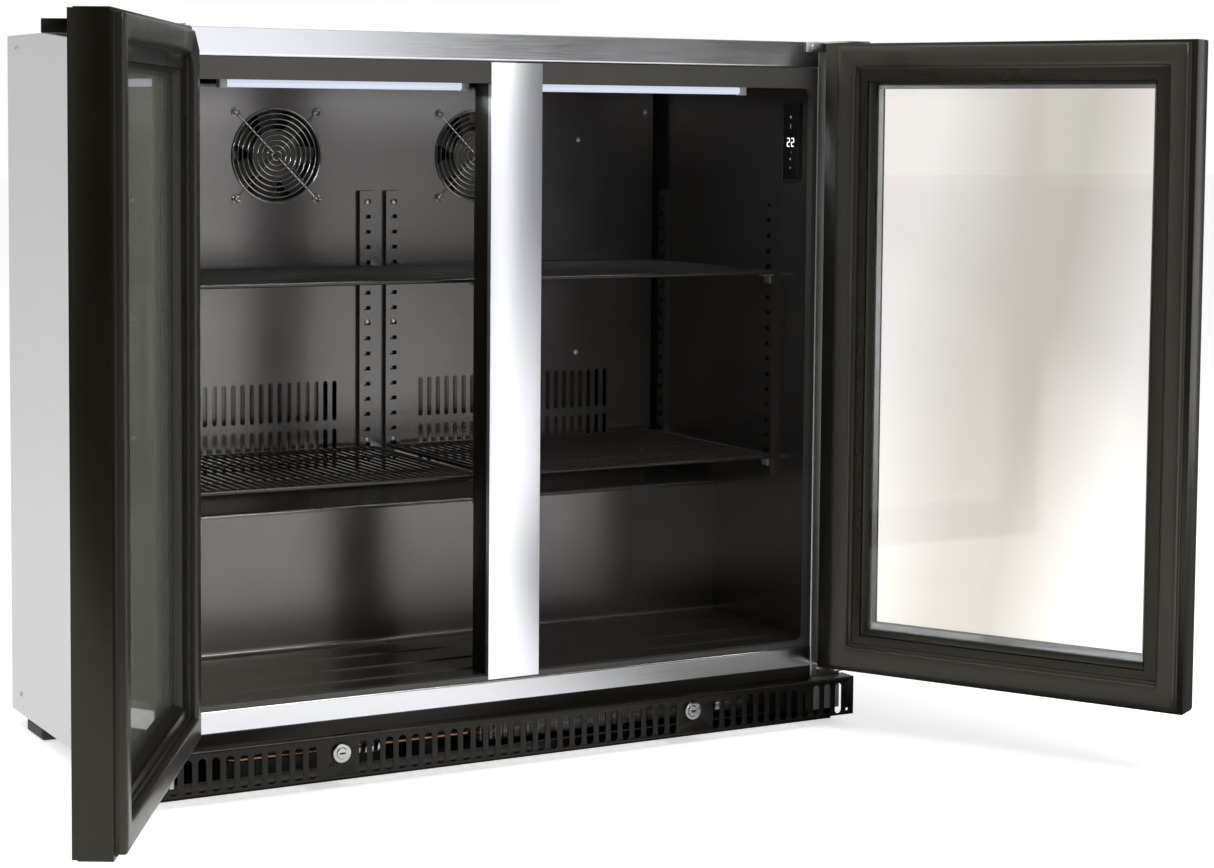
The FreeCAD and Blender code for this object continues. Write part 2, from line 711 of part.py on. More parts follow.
def cable_gland():
    """The inlet for the mains lead: a nut outside, a thread through the grille and a nut inside."""
    y = DEPTH - SHEET
    thread = rod(vec(370, y - 8, 60), BACKWARDS, 22, 8)
    nut = rod(vec(370, DEPTH, 60), BACKWARDS, 8, 12)
    inside = rod(vec(370, y - 5, 60), BACKWARDS, 5, 12)
    return joined([thread, nut, inside]).cut(rod(vec(370, y - 10, 60), BACKWARDS, 30, 4))


# ---- hinges and screws -----------------------------------------------------------------
def pivot_place(side):
    return side * (HALF - HINGE_IN), DOOR_BACK - DOOR_THICK + HINGE_DOWN


def hinge_brackets():
    """An angle above and below each door, each with its pin."""
    brackets = []
    for s in SIDES:
        px, py = pivot_place(s)
        top_flange = box(s * 386, s * 446, -2.5, 0, 811, TOP + 0.5)
        top_leaf = box(s * 408, s * 446, py - 10, 0, DOOR_HIGH + 0.7, TOP + 0.5)
        top_pin = rod(vec(px, py, DOOR_HIGH - 12), UP, 13, PIN)
        brackets.append(joined([top_flange, top_leaf, top_pin]))
        low_flange = box(s * 408, s * 446, -2.5, 0, 59, DOOR_LOW)
        low_leaf = box(s * 408, s * 446, py - 10, 0, DOOR_LOW - 3.7, DOOR_LOW - 0.7)
        low_pin = rod(vec(px, py, DOOR_LOW - 2), UP, 13, PIN)
        brackets.append(joined([low_flange, low_leaf, low_pin]))
    return group(brackets)


def screw(place, direction, radius, head, reach=6.0):
    """A pan head screw seen from outside: a domed head on a short shank."""
    shank = rod(place, direction * -1, reach, radius * 0.5)
    cap = rod(place, direction, head, radius)
    edge = [e for e in cap.Edges if (e.BoundBox.Center - (place + direction * head)).Length < 0.01]
    return joined([cap.makeFillet(head * 0.6, edge[:1]), shank])


def cabinet_screws():
    """Screws of the hinges, evaporator cover, fans, rails and side panels."""
    forward, back = vec(0, -1, 0), vec(0, 1, 0)
    screws = []
    for s in SIDES:
        screws.append(screw(vec(s * 396, -2.5, 816.5), forward, 3.6, 1.8))
        screws.append(screw(vec(s * 436, -2.5, 816.5), forward, 3.6, 1.8))
        screws.append(screw(vec(s * 416, -2.5, 67), forward, 4.2, 2.0))
        screws.append(screw(vec(s * 438, -2.5, 66), forward, 4.2, 2.0))
        for x, z in ((285.0, 703.7), (386.0, 740.6), (284.0, 426.0), (386.0, 292.0)):
            screws.append(screw(vec(s * x, EVAP_COVER, z), forward, 3.2, 1.6, 2.5))
        for a in SIDES:
            for b in SIDES:
                place = vec(s * FAN_X + a * FAN_SCREW, EVAP_COVER, FAN_Z + b * FAN_SCREW)
                screws.append(screw(place, forward, 3.1, 2.6))
        for z in (625.0, 476.0, 327.0):
            face = EVAP_COVER - RAIL_DEPTH
            screws.append(screw(vec(s * BACK_RAIL_X, face, z), forward, 3.2, 1.4))
        for y, z in ((408.0, 808.0), (408.0, 40.0), (40.0, 40.0)):
            screws.append(screw(vec(s * HALF, y, z), vec(s, 0, 0), 3.4, 1.4))
        screws.append(screw(vec(s * 430, DEPTH, 806), back, 3.4, 1.4))
        screws.append(screw(vec(s * 430, DEPTH, 250), back, 3.4, 1.4))
    return group(screws)


# ---- doors -----------------------------------------------------------------------------
# A door is drawn shut, as the right one, with its hinge edge at X = HALF.
def door_ring(outer, inner, v0, v1):
    """A rectangular ring.  Both margins are (free side, hinge side, low, high), in from the door's
    edges, and v runs in from the door's outer face."""
    face = DOOR_BACK - DOOR_THICK

    def plate(margins, start, stop):
        free, hinge, low, high = margins
        return box(HALF - DOOR_WIDTH + free, HALF - hinge, face + start, face + stop,
                   DOOR_LOW + low, DOOR_HIGH - high)

    return plate(outer, v0, v1).cut(plate(inner, v0 - 1, v1 + 1))


def door_frame(side):
    """The hollow frame round the glass, with holes for the bushes and a pocket for the lock's cam."""
    front = door_ring(FRONT_INSET, BEAD_RING, 0, GLASS_FRONT)
    body = door_ring((0, 0, 0, 0), DOOR_RING, GLASS_FRONT, DOOR_THICK)
    px, py = pivot_place(1)
    holes = [rod(vec(px, py, DOOR_LOW - 1), UP, 17, 7), rod(vec(px, py, DOOR_HIGH - 16), UP, 17, 7)]
    lock = LOCK_X if side > 0 else LOCK_X - CAM_LENGTH + 18
    holes.append(box(lock - 9, lock + 40, CAM_Y - 1.6, CAM_Y + CAM_THICK + 1.0, DOOR_LOW - 1, DOOR_LOW + 17))
    return joined([front, body]).cut(holes)


def glazing_bead():
    """The strip that holds the glass in the frame."""
    return door_ring(DOOR_RING, BEAD_RING, GLASS_FRONT + GLASS_UNIT, DOOR_THICK - 3)


def glass_pane(v0):
    face = DOOR_BACK - DOOR_THICK
    free, hinge, low, high = DOOR_RING
    return box(HALF - DOOR_WIDTH + free, HALF - hinge, face + v0, face + v0 + PANE,
               DOOR_LOW + low, DOOR_HIGH - high)


def door_glass():
    return group([glass_pane(GLASS_FRONT), glass_pane(GLASS_FRONT + GLASS_UNIT - PANE)])


def glass_spacer():
    return door_ring(DOOR_RING, SPACER_RING, GLASS_FRONT + PANE, GLASS_FRONT + GLASS_UNIT - PANE)


def door_gasket():
    """The magnetic gasket: a flat base in the frame and a raised hollow band."""
    v = DOOR_THICK
    base = door_ring(*SEAL_BASE, v, v + 3)
    band = door_ring(*SEAL_BAND, v + 3, v + GASKET)
    return joined([base, band])


def door_handle():
    """A pull bar near the top of the outer face: a channel that opens downwards, closed at its ends."""
    face = DOOR_BACK - DOOR_THICK
    x0, x1 = HALF - DOOR_WIDTH + 14.0, HALF - 33.0
    z0, z1 = 797.5, 810.5
    bar = box(x0, x1, face - 25.5, face, z0, z1)
    hollow = box(x0 + 3, x1 - 3, face - 22.5, face - 2.5, z0 - 1, z1 - 2.5)
    return bar.cut(hollow)


def door_bushes():
    """A nylon bush in the top and one in the bottom of the door."""
    px, py = pivot_place(1)
    bushes = []
    for z in (DOOR_LOW, DOOR_HIGH - 16):
        sleeve = rod(vec(px, py, z), UP, 16, 7)
        start = z - 1 if z < 200 else z + 1.5
        bushes.append(sleeve.cut(rod(vec(px, py, start), UP, 15.5, PIN + RUNNING)))
    return group(bushes)


def opened(shape, side):
    """Put a door piece in its place and swing it open."""
    placed = shape.copy() if side > 0 else mirrored(shape)
    px, py = pivot_place(side)
    placed.rotate(vec(px, py, 0), UP, DOOR_OPEN * side)
    return placed


# ---- the whole -------------------------------------------------------------------------
def all_nodes():
    nodes = {
        "left_side_panel": side_panel(-1), "right_side_panel": side_panel(1),
        "top_panel": top_panel(), "front_bands": front_bands(), "back_panel": back_panel(),
        "compartment_panel": compartment_panel(), "base_tray": base_tray(), "feet": feet(),
        "inner_liner": inner_liner(), "foam_insulation": foam_insulation(),
        "breaker_trim": breaker_trim(), "centre_post": centre_post(),
        "mullion_cover": mullion_cover(), "evaporator_cover": evaporator_cover(),
        "evaporator_coil": evaporator_coil(), "drip_tray": drip_tray(),
        "fan_frames": group([fan_frame(s) for s in SIDES]),
        "fan_guards": group([fan_guard(s) for s in SIDES]),
        "light_tubes": light_tubes(), "light_holders": light_holders(),
        "controller_housing": controller_housing(), "controller_display": controller_display(),
        "shelf_rails": shelf_rails(), "shelf_clips": shelf_clips(),
        "kick_plate": kick_plate(), "lock_housings": lock_housings(),
        "compressor": compressor(), "compressor_mounts": compressor_mounts(),
        "condenser_coil": condenser_coil(), "condenser_fan_shroud": condenser_fan_shroud(),
        "condenser_fan_rotor": condenser_fan_rotor(), "copper_pipes": copper_pipes(),
        "condensate_tray": condensate_tray(), "electrical_box": electrical_box(),
        "rear_grille": rear_grille(), "cable_gland": cable_gland(),
        "hinge_brackets": hinge_brackets(), "cabinet_screws": cabinet_screws()}
    for s in SIDES:
        name = SIDE_NAME[s]
        nodes[name + "_fan_rotor"] = fan_rotor(s)
        nodes[name + "_lock_plug"] = lock_plug(s)
        nodes["upper_" + name + "_shelf"] = wire_shelf(s, SHELF_LEVELS[0])
        nodes["lower_" + name + "_shelf"] = wire_shelf(s, SHELF_LEVELS[1])
        pieces = {
            "frame": door_frame(s), "bead": glazing_bead(), "glass": door_glass(),
            "spacer": glass_spacer(), "gasket": door_gasket(), "handle": door_handle(),
            "bushes": door_bushes()}
        for piece, shape in pieces.items():
            nodes[name + "_door_" + piece] = opened(shape, s)
    return nodes


def main():
    os.makedirs("parts", exist_ok=True)
    whole = FreeCAD.BoundBox()
    for name, shape in all_nodes().items():
        shape.translate(vec(0, -ORIGIN_Y, 0))
        whole.add(shape.BoundBox)
        solids = shape.Solids
        if not shape.isValid() or not solids:
            print("not valid:", name)
        shape.exportStep("parts/" + name + ".step")
        print(name, len(solids), "solids", round(shape.Volume / 1000, 1), "cm3")
    print("from", whole.YMin, "to", whole.YMax, "across", whole.XLength, "high", whole.ZMax)


main()
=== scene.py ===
# %% [markdown]
# # An under counter fridge with two glass doors
# The frame of this fridge is a finished mechanical model: it holds every size, hinge and fit.
# Nothing here moves or resizes it. This file gives each piece its finish, and swaps the plain
# working shapes for finer ones where an eye would notice: seals, screws, guards, fins and digits.
# We start by loading the frame.

# %% Load the fixed frame
import json
import math

import bmesh
import bpy
from mathutils import Matrix, Vector


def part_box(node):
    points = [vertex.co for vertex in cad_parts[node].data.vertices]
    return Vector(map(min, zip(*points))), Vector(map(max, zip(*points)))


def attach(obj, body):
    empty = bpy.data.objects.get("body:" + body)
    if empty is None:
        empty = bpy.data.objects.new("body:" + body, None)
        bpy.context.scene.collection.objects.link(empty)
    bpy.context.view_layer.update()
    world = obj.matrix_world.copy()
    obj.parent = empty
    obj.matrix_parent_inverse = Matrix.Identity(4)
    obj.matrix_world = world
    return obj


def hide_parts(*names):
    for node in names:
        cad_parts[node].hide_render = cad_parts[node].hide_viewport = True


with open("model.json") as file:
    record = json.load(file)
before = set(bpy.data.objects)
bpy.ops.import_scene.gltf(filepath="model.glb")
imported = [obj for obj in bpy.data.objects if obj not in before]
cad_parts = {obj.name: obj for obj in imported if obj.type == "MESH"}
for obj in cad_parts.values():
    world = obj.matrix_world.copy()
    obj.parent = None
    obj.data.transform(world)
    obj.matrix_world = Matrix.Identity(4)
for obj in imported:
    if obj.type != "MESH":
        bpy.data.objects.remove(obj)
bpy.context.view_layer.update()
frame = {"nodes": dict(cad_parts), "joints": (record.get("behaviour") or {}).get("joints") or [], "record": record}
nodes = frame["nodes"]
body_of = {name: body for body, names in frame["record"]["behaviour"]["bodies"].items() for name in names}
slot_of = {part["node"]: part["material_slot"] for part in frame["record"]["subparts"]}

# %% [markdown]
# ## Camera
# The fridge is seen from its left, a little below its top, with a long lens. The camera is
# placed from the steel front, which is the face that all other sizes are measured from. Its
# three turns are yaw (to the right), pitch (down) and a very small roll. The shift slides the
# picture without turning the camera, so upright edges stay upright.

# %% Camera
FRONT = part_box("mullion_cover")[0].y
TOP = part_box("top_panel")[1].z
CAMERA_SPOT = Vector((-1.3130, FRONT - 2.5074, 0.7197))
YAW, PITCH, ROLL = math.radians(28.42), math.radians(-3.92), math.radians(0.40)
SENSOR_WIDTH, FOCAL_LENGTH = 36.0, 74.84
SHIFT_X, SHIFT_Y = 0.0467, -0.1102


def aim(yaw, pitch, roll):
    """A turn that looks along +Y first, then right by yaw, up by pitch and tilted by roll."""
    ahead = Vector((math.sin(yaw) * math.cos(pitch), math.cos(yaw) * math.cos(pitch), math.sin(pitch)))
    right = Vector((math.cos(yaw), -math.sin(yaw), 0))
    up = right.cross(ahead)
    side = right * math.cos(roll) + up * math.sin(roll)
    above = up * math.cos(roll) - right * math.sin(roll)
    return Matrix((side, above, -ahead)).transposed().to_4x4()


lens = bpy.data.cameras.new("camera")
lens.sensor_width, lens.lens = SENSOR_WIDTH, FOCAL_LENGTH
lens.shift_x, lens.shift_y = SHIFT_X, SHIFT_Y
camera = bpy.data.objects.new("camera", lens)
camera.matrix_world = Matrix.Translation(CAMERA_SPOT) @ aim(YAW, PITCH, ROLL)
bpy.context.collection.objects.link(camera)
bpy.context.scene.camera = camera
print("camera", round((CAMERA_SPOT - Vector((0, 0, TOP / 2))).length, 2), "m from the middle of the fridge")

# %% [markdown]
# ## Shader helpers
# A material in Blender is a graph of nodes. Drawing that graph in Python is wordy, so two small
# classes help. `Wire` wraps one output of the graph and lets us write sums with it, such as
# `0.3 + grain * 0.1`: each sum adds the Math nodes by itself. `Finish` is one material: its
# method `node` makes any other node from its type, its settings and its inputs.

# %% Shader helpers
class Wire:
    """One output of a material's graph, which can be used in sums."""

    def __init__(self, finish, socket):
        self.finish, self.socket = finish, socket

    def math(self, operation, first, second):
        return self.finish.node("ShaderNodeMath", {"operation": operation}, {0: first, 1: second})

    def __add__(self, other):
        return self.math("ADD", self, other)

    def __sub__(self, other):
        return self.math("SUBTRACT", self, other)

    def __rsub__(self, other):
        return self.math("SUBTRACT", other, self)

    def __mul__(self, other):
        return self.math("MULTIPLY", self, other)

    __radd__ = __add__
    __rmul__ = __mul__


class Finish:
    """One material, built round a Principled shader whose fixed inputs are given by name."""

    def __init__(self, name, **fixed):
        self.material = bpy.data.materials.new(name)
        self.material.use_nodes = True
        self.tree = self.material.node_tree
        self.shader = self.tree.nodes["Principled BSDF"]
        self.spot = None
        for word, value in fixed.items():
            self.shader.inputs[word.replace("_", " ")].default_value = value

    def node(self, kind, settings=None, inputs=None, output=0):
        made = self.tree.nodes.new(kind)
        for word, value in (settings or {}).items():
            if word == "stops":
                self.set_stops(made.color_ramp, value)
            else:
                setattr(made, word, value)
        for key, value in (inputs or {}).items():
            self.feed(made.inputs[key], value)
        return Wire(self, made.outputs[output])

    def set_stops(self, ramp, stops):
        while len(ramp.elements) < len(stops):
            ramp.elements.new(0.5)
        for element, (place, colour) in zip(ramp.elements, stops):
            element.position = place
            element.color = (*colour, 1) if len(colour) == 3 else colour

    def feed(self, socket, value):
        if isinstance(value, Wire):
            self.tree.links.new(value.socket, socket)
        else:
            socket.default_value = value

    def put(self, **wires):
        """Feed the shader's inputs from wires."""
        for word, value in wires.items():
            self.feed(self.shader.inputs[word.replace("_", " ")], value)
        return self

    def place(self, scale=(1, 1, 1), turn=(0, 0, 0)):
        """Where a point is on the object, in metres, stretched by scale."""
        spot = self.node("ShaderNodeTexCoord", output="Object")
        return self.node("ShaderNodeMapping", {}, {"Vector": spot, "Scale": scale, "Rotation": turn})

    def noise(self, size, detail=2.0, stretch=(1, 1, 1), turn=(0, 0, 0), roughness=0.5):
        """Cloudy grey from 0 to 1 with blobs of about the given size in metres."""
        spot = self.place(tuple(s / size for s in stretch), turn)
        return self.node("ShaderNodeTexNoise", {}, {"Vector": spot, "Scale": 1.0, "Detail": detail,
                                                    "Roughness": roughness})

    def ramp(self, value, *stops):
        return self.node("ShaderNodeValToRGB", {"stops": stops}, {"Fac": value})

    def blend(self, mask, first, second):
        """first where the mask is 0 and second where it is 1."""
        return self.node("ShaderNodeMix", {"data_type": "RGBA"}, {0: mask, 6: first, 7: second}, output=2)

    def bump(self, height, distance, strength=1.0):
        return self.node("ShaderNodeBump", {}, {"Height": height, "Distance": distance, "Strength": strength})


def rgb(red, green, blue):
    return (red, green, blue, 1.0)


print("helpers ready")

# %% [markdown]
# ## Floor, light and surroundings
# Steel and gloss paint show mostly what is around them, so the surroundings matter as much as
# the lamps. The floor is plain and pale. Large soft lamps stand left, in front and above, as in
# a product studio. A tall dim card in front and one at the right give the steel bands something
# to mirror. Small lamps add the light of the two tubes and a glint on the coil behind the kick
# plate. The world is white where the camera sees it. Everything else sees a room that is pale
# behind the fridge and dim in front of it, which gives black paint its depth. The floor works the
# same way: it is bright to the camera, but to steel it shows painted shade, a dull zone near the
# right door and one far out at the front left. A dark patch and an upright strip stand for the
# shadow below the fridge.

# %% Floor and soft light
FLOOR_SIZE, FLOOR_DROP = 60.0, 0.0008
PALE = rgb(0.90, 0.90, 0.90)
DULL_RIGHT, DULL_LEFT = 0.15, 0.3
DULL_NEAR, DULL_FAR = 0.75, 0.9
SHADE_INSET, SHADE_SETBACK, SHADE_DEPTH, SHADE_SLANT, SHADE_DROP = 0.004, 0.012, 0.27, 0.13, 0.0003
BRIGHT_SIDE = (-0.60, 0.78, 0.18)
DIM_WALL, LIT_WALL = rgb(0.035, 0.034, 0.030), rgb(0.80, 0.80, 0.81)
DIM_UP_TO, LIT_FROM = 0.44, 0.80
TUBE_X, TUBE_LENGTH, COIL_X = 0.1855, 0.27, -0.17


def stage_floor():
    """A floor that is bright to the camera, with painted shade that only steel sees in two places."""
    mesh = bpy.data.meshes.new("floor")
    half = FLOOR_SIZE / 2
    corners = [(-half, -half, 0), (half, -half, 0), (half, half, 0), (-half, half, 0)]
    mesh.from_pydata(corners, [], [(0, 1, 2, 3)])
    floor = bpy.data.objects.new("floor", mesh)
    floor.location.z = -FLOOR_DROP
    bpy.context.collection.objects.link(floor)
    finish = Finish("floor_pale", Roughness=0.9, Emission_Color=rgb(1, 1, 1), Emission_Strength=0.60)
    finish.put(Base_Color=finish.blend(finish.noise(0.8, 3.0), PALE, rgb(0.96, 0.96, 0.96)))
    # Painted shade: this dull grey is what reflections see near the right door and far out at the front left.
    dull = finish.node("ShaderNodeBsdfDiffuse", {}, {"Color": rgb(0.20, 0.20, 0.19)})
    spot = finish.node("ShaderNodeSeparateXYZ", {}, {0: finish.node("ShaderNodeTexCoord", output="Object")})
    depth = Wire(finish, spot.socket.node.outputs["Y"])

    def fade(place, start, slope):
        """0 at the start, and 1 after 1 / slope metres."""
        return finish.node("ShaderNodeMath", {"operation": "MULTIPLY_ADD", "use_clamp": True},
                           {0: place, 1: slope, 2: -slope * start})

    right, near = fade(spot, DULL_RIGHT, 4.0), fade(depth, FRONT - DULL_NEAR, 5.0)
    left, far = fade(spot, DULL_LEFT, -4.0), fade(depth, FRONT - DULL_FAR, -3.0)
    seen = finish.node("ShaderNodeLightPath")
    mix = finish.node("ShaderNodeMixShader", {}, {0: seen + (1 - right * near - left * far), 1: dull})
    finish.tree.links.new(finish.shader.outputs[0], mix.socket.node.inputs[2])
    finish.tree.links.new(mix.socket, finish.tree.nodes["Material Output"].inputs["Surface"])
    mesh.materials.append(finish.material)


def shade_below():
    """The dark under the fridge, which shows through the slots: a patch of floor and an upright strip."""
    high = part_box("base_tray")[1]
    x, front, lift = high.x - SHADE_INSET, FRONT + SHADE_SETBACK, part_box("right_side_panel")[0].z
    back = front + SHADE_DEPTH
    corners = [(-x, front, 0), (x, front, 0), (x, back, 0), (-x + SHADE_SLANT, back, 0),
               (x, front, lift), (x, back, lift)]
    mesh = bpy.data.meshes.new("shade")
    mesh.from_pydata(corners, [], [(0, 1, 2, 3), (1, 2, 5, 4)])
    patch = bpy.data.objects.new("shade", mesh)
    patch.location.z = -SHADE_DROP
    bpy.context.collection.objects.link(patch)
    finish = Finish("floor_shade", Roughness=0.8)
    finish.put(Base_Color=finish.blend(finish.noise(0.1, 3.0), rgb(0.010, 0.009, 0.007),
                                       rgb(0.02, 0.018, 0.015)))
    mesh.materials.append(finish.material)


def soft_lamp(name, spot, target, width, height, power, tint=(1, 1, 1)):
    """A flat lamp of a given width and height that looks at a target."""
    light = bpy.data.lights.new(name, "AREA")
    light.shape = "RECTANGLE"
    light.size, light.size_y = width, height
    light.energy, light.color = power, tint
    lamp = bpy.data.objects.new(name, light)
    lamp.location = spot
    lamp.rotation_euler = (Vector(target) - Vector(spot)).to_track_quat("-Z", "Y").to_euler()
    bpy.context.collection.objects.link(lamp)
    return lamp


def surroundings():
    """White to the camera; to everything else a room with a bright side and a dim side."""
    world = bpy.data.worlds.new("studio")
    world.use_nodes = True
    tree = world.node_tree
    tree.nodes.clear()
    out = tree.nodes.new("ShaderNodeOutputWorld")
    seen = tree.nodes.new("ShaderNodeBackground")
    seen.inputs["Color"].default_value = rgb(1, 1, 1)
    room = tree.nodes.new("ShaderNodeBackground")
    place = tree.nodes.new("ShaderNodeTexCoord")
    facing = tree.nodes.new("ShaderNodeVectorMath")
    facing.operation = "DOT_PRODUCT"
    facing.inputs[1].default_value = BRIGHT_SIDE
    shade = tree.nodes.new("ShaderNodeValToRGB")
    dim, lit = shade.color_ramp.elements
    dim.position, dim.color = DIM_UP_TO, DIM_WALL
    lit.position, lit.color = LIT_FROM, LIT_WALL
    half = tree.nodes.new("ShaderNodeMath")
    half.operation = "MULTIPLY_ADD"
    half.inputs[1].default_value, half.inputs[2].default_value = 0.5, 0.5
    path = tree.nodes.new("ShaderNodeLightPath")
    mix = tree.nodes.new("ShaderNodeMixShader")
    link = tree.links.new
    link(place.outputs["Generated"], facing.inputs[0])
    link(facing.outputs["Value"], half.inputs[0])
    link(half.outputs[0], shade.inputs[0])
    link(shade.outputs[0], room.inputs["Color"])
    link(path.outputs["Is Camera Ray"], mix.inputs[0])
    link(room.outputs[0], mix.inputs[1])
    link(seen.outputs[0], mix.inputs[2])
    link(mix.outputs[0], out.inputs["Surface"])
    bpy.context.scene.world = world


stage_floor()
shade_below()
surroundings()
soft_lamp("left_softbox", (-3.4, 0.9, 1.5), (0, 0, 0.45), 2.4, 2.4, 20)
soft_lamp("front_card", (0.80, FRONT - 3.4, 1.0), (0.1, 0, 0.6), 1.2, 2.6, 13, (0.94, 0.96, 1))
soft_lamp("front_lamp", (0.5, FRONT - 2.6, 3.0), (0.1, 0, 0.4), 1.8, 1.2, 62)
soft_lamp("top_softbox", (0.0, -0.3, 3.2), (0, 0, 0.4), 2.6, 2.6, 22)
soft_lamp("right_card", (3.0, -0.4, 0.7), (0.6, -0.8, 0.5), 1.4, 1.8, 8)
tubes_low, tubes_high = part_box("light_tubes")
for way in (-1, 1):
    spot = (way * TUBE_X, (tubes_low.y + tubes_high.y) / 2, tubes_low.z - 0.002)
    soft_lamp("tube_light", spot, (spot[0], spot[1] + 0.05, 0.2), TUBE_LENGTH, 0.008, 0.4, (0.86, 0.92, 1))
coil_spot = (COIL_X, FRONT + 0.028, 0.012)
soft_lamp("coil_light", coil_spot, (COIL_X, FRONT + 0.10, 0.06), 0.46, 0.012, 0.30)
bpy.context.scene.view_settings.view_transform = "Standard"
print("floor", FLOOR_SIZE, "m across, five large soft lamps and three small ones")

# %% [markdown]
# ## Stainless steel
# The cabinet's sheets are brushed stainless. Brushing leaves thousands of fine scratches in one
# direction, so the finish is cloudy noise pulled out along that direction. The same noise moves
# the roughness and a tiny bump, which stretches reflections the way real brushing does. A slow
# second noise stands for handling marks and the slight unevenness of thin sheet. Sheets that are
# out of sight are galvanised instead, which shows as large soft crystals.

# %% Stainless steel
def brushed(name, tint, shade, rough, stretch):
    finish = Finish(name, Metallic=1.0)
    grain = finish.noise(0.0009, 3.0, stretch, roughness=0.65)
    marks = finish.noise(0.16, 3.0)
    finish.put(Base_Color=finish.blend(grain * 0.6 + marks * 0.4, shade, tint),
               Roughness=grain * 0.16 + marks * 0.10 + (rough - 0.12),
               Normal=finish.bump(grain, 0.00004, 0.6))
    return finish.material


UPRIGHT, ALONG = (1, 1, 0.012), (0.012, 1, 1)
steel_side = brushed("steel_side", rgb(0.60, 0.60, 0.605), rgb(0.51, 0.51, 0.515), 0.40, UPRIGHT)
steel_band = brushed("steel_band", rgb(0.72, 0.72, 0.74), rgb(0.60, 0.60, 0.62), 0.20, ALONG)
# Painted reflection: the post's stainless is a lit copy of the same steel, and its near-white bluish colour stands
# for what it mirrors.
lit_steel_post = brushed("lit_steel_post", rgb(0.95, 0.96, 1.0), rgb(0.86, 0.87, 0.92), 0.34, UPRIGHT)
steel_hinge = brushed("steel_hinge", rgb(0.62, 0.61, 0.59), rgb(0.50, 0.49, 0.47), 0.30, ALONG)
print("four brushed steels")


def zinc():
    """Galvanised sheet: large soft crystals, called spangle, with a dull sheen."""
    finish = Finish("zinc", Metallic=1.0)
    spot = finish.place((90, 90, 90))
    crystals = finish.node("ShaderNodeTexVoronoi", {"feature": "F1"}, {"Vector": spot, "Scale": 1.0},
                           output="Color")
    tone = finish.node("ShaderNodeSeparateColor", {}, {0: crystals})
    dust = finish.noise(0.05, 4.0)
    finish.put(Base_Color=finish.ramp(tone * 0.5 + dust * 0.5,
                                      (0.2, (0.30, 0.31, 0.32)), (0.9, (0.50, 0.51, 0.52))),
               Roughness=tone * 0.15 + dust * 0.2 + 0.32,
               Normal=finish.bump(dust, 0.0003, 0.3))
    return finish.material


galvanised = zinc()
print("zinc ready")

# %% [markdown]
# ## Coated and moulded finishes
# The liner is aluminium with a charcoal coat: a dark satin metal with a very fine texture. The
# same recipe, with other colours and grain, also makes the black door frames, the grey plastic
# trim, moulded fan plastic, enamel and rubber, so one function makes them all. Dust and rubbed
# spots come from a slow noise that lifts the colour and the roughness a little. Their sheen is
# tinted slightly warm, as on aged black paint.

# %% Coated and moulded finishes
def coated(name, colour, lifted, rough, grain_size=0.0012, depth=0.00004, wear=0.12, **fixed):
    finish = Finish(name, Specular_Tint=rgb(1.0, 0.95, 0.82), **fixed)
    peel = finish.noise(grain_size, 2.0)
    cloud = finish.noise(0.07, 4.0)
    streak = finish.noise(0.012, 3.0)
    finish.put(Base_Color=finish.blend(cloud * 0.6 + streak * 0.4, colour, lifted),
               Roughness=cloud * wear + peel * 0.05 + (rough - wear / 2),
               Normal=finish.bump(peel, depth, 0.6))
    return finish.material


charcoal = coated("charcoal_coat", rgb(0.128, 0.120, 0.114), rgb(0.160, 0.151, 0.148), 0.215, Metallic=0.88)
trim_grey = coated("trim_grey", rgb(0.040, 0.039, 0.036), rgb(0.062, 0.061, 0.057), 0.30, 0.0020)
post_black = coated("post_black", rgb(0.004, 0.0035, 0.0015), rgb(0.008, 0.007, 0.004), 0.36, 0.0015,
                    Specular_IOR_Level=0.3)
door_black = coated("door_black", rgb(0.0045, 0.0040, 0.0020), rgb(0.0085, 0.0078, 0.0050), 0.26,
                    0.0008, 0.00002, Specular_IOR_Level=0.35)
bead_black = coated("bead_black", rgb(0.010, 0.0088, 0.0060), rgb(0.016, 0.0145, 0.010), 0.34, 0.0015,
                    Specular_IOR_Level=0.35)
gasket_grey = coated("gasket_grey", rgb(0.018, 0.0175, 0.0145), rgb(0.028, 0.0275, 0.0235), 0.30,
                     0.0010, 0.00006, Specular_IOR_Level=0.45)
kick_black = coated("kick_black", rgb(0.004, 0.0035, 0.002), rgb(0.008, 0.0072, 0.005), 0.22, 0.0016, 0.00005,
                    Specular_IOR_Level=0.25)
fan_black = coated("fan_black", rgb(0.010, 0.0095, 0.008), rgb(0.018, 0.017, 0.015), 0.38, 0.0010, 0.00006)
hub_grey = coated("hub_grey", rgb(0.055, 0.053, 0.048), rgb(0.080, 0.078, 0.072), 0.34, 0.0010, 0.00004)
wire_black = coated("wire_black", rgb(0.008, 0.0075, 0.006), rgb(0.020, 0.019, 0.016), 0.16, 0.0016, 0.00003)
foot_rubber = coated("foot_rubber", rgb(0.010, 0.010, 0.009), rgb(0.022, 0.021, 0.020), 0.62, 0.0010, 0.0001)
enamel = coated("compressor_enamel", rgb(0.008, 0.008, 0.008), rgb(0.016, 0.016, 0.016), 0.16,
                0.0022, 0.00005)
nylon = coated("nylon_white", rgb(0.70, 0.69, 0.65), rgb(0.78, 0.77, 0.73), 0.45, 0.0012)
tray_plastic = coated("tray_plastic", rgb(0.020, 0.020, 0.021), rgb(0.034, 0.034, 0.034), 0.45, 0.0014)
foam_yellow = coated("foam_yellow", rgb(0.62, 0.52, 0.30), rgb(0.74, 0.65, 0.43), 0.85, 0.0009, 0.0004)
print("fifteen coated finishes")

# %% [markdown]
# ## Bright metals
# Locks and screws are chrome plated, the coil fins are thin aluminium and the pipes are copper.
# Plating is almost a mirror, so its detail is fine polishing scratches in the roughness. Copper
# darkens where it is handled or heated, which a cloudy noise between two browns gives.

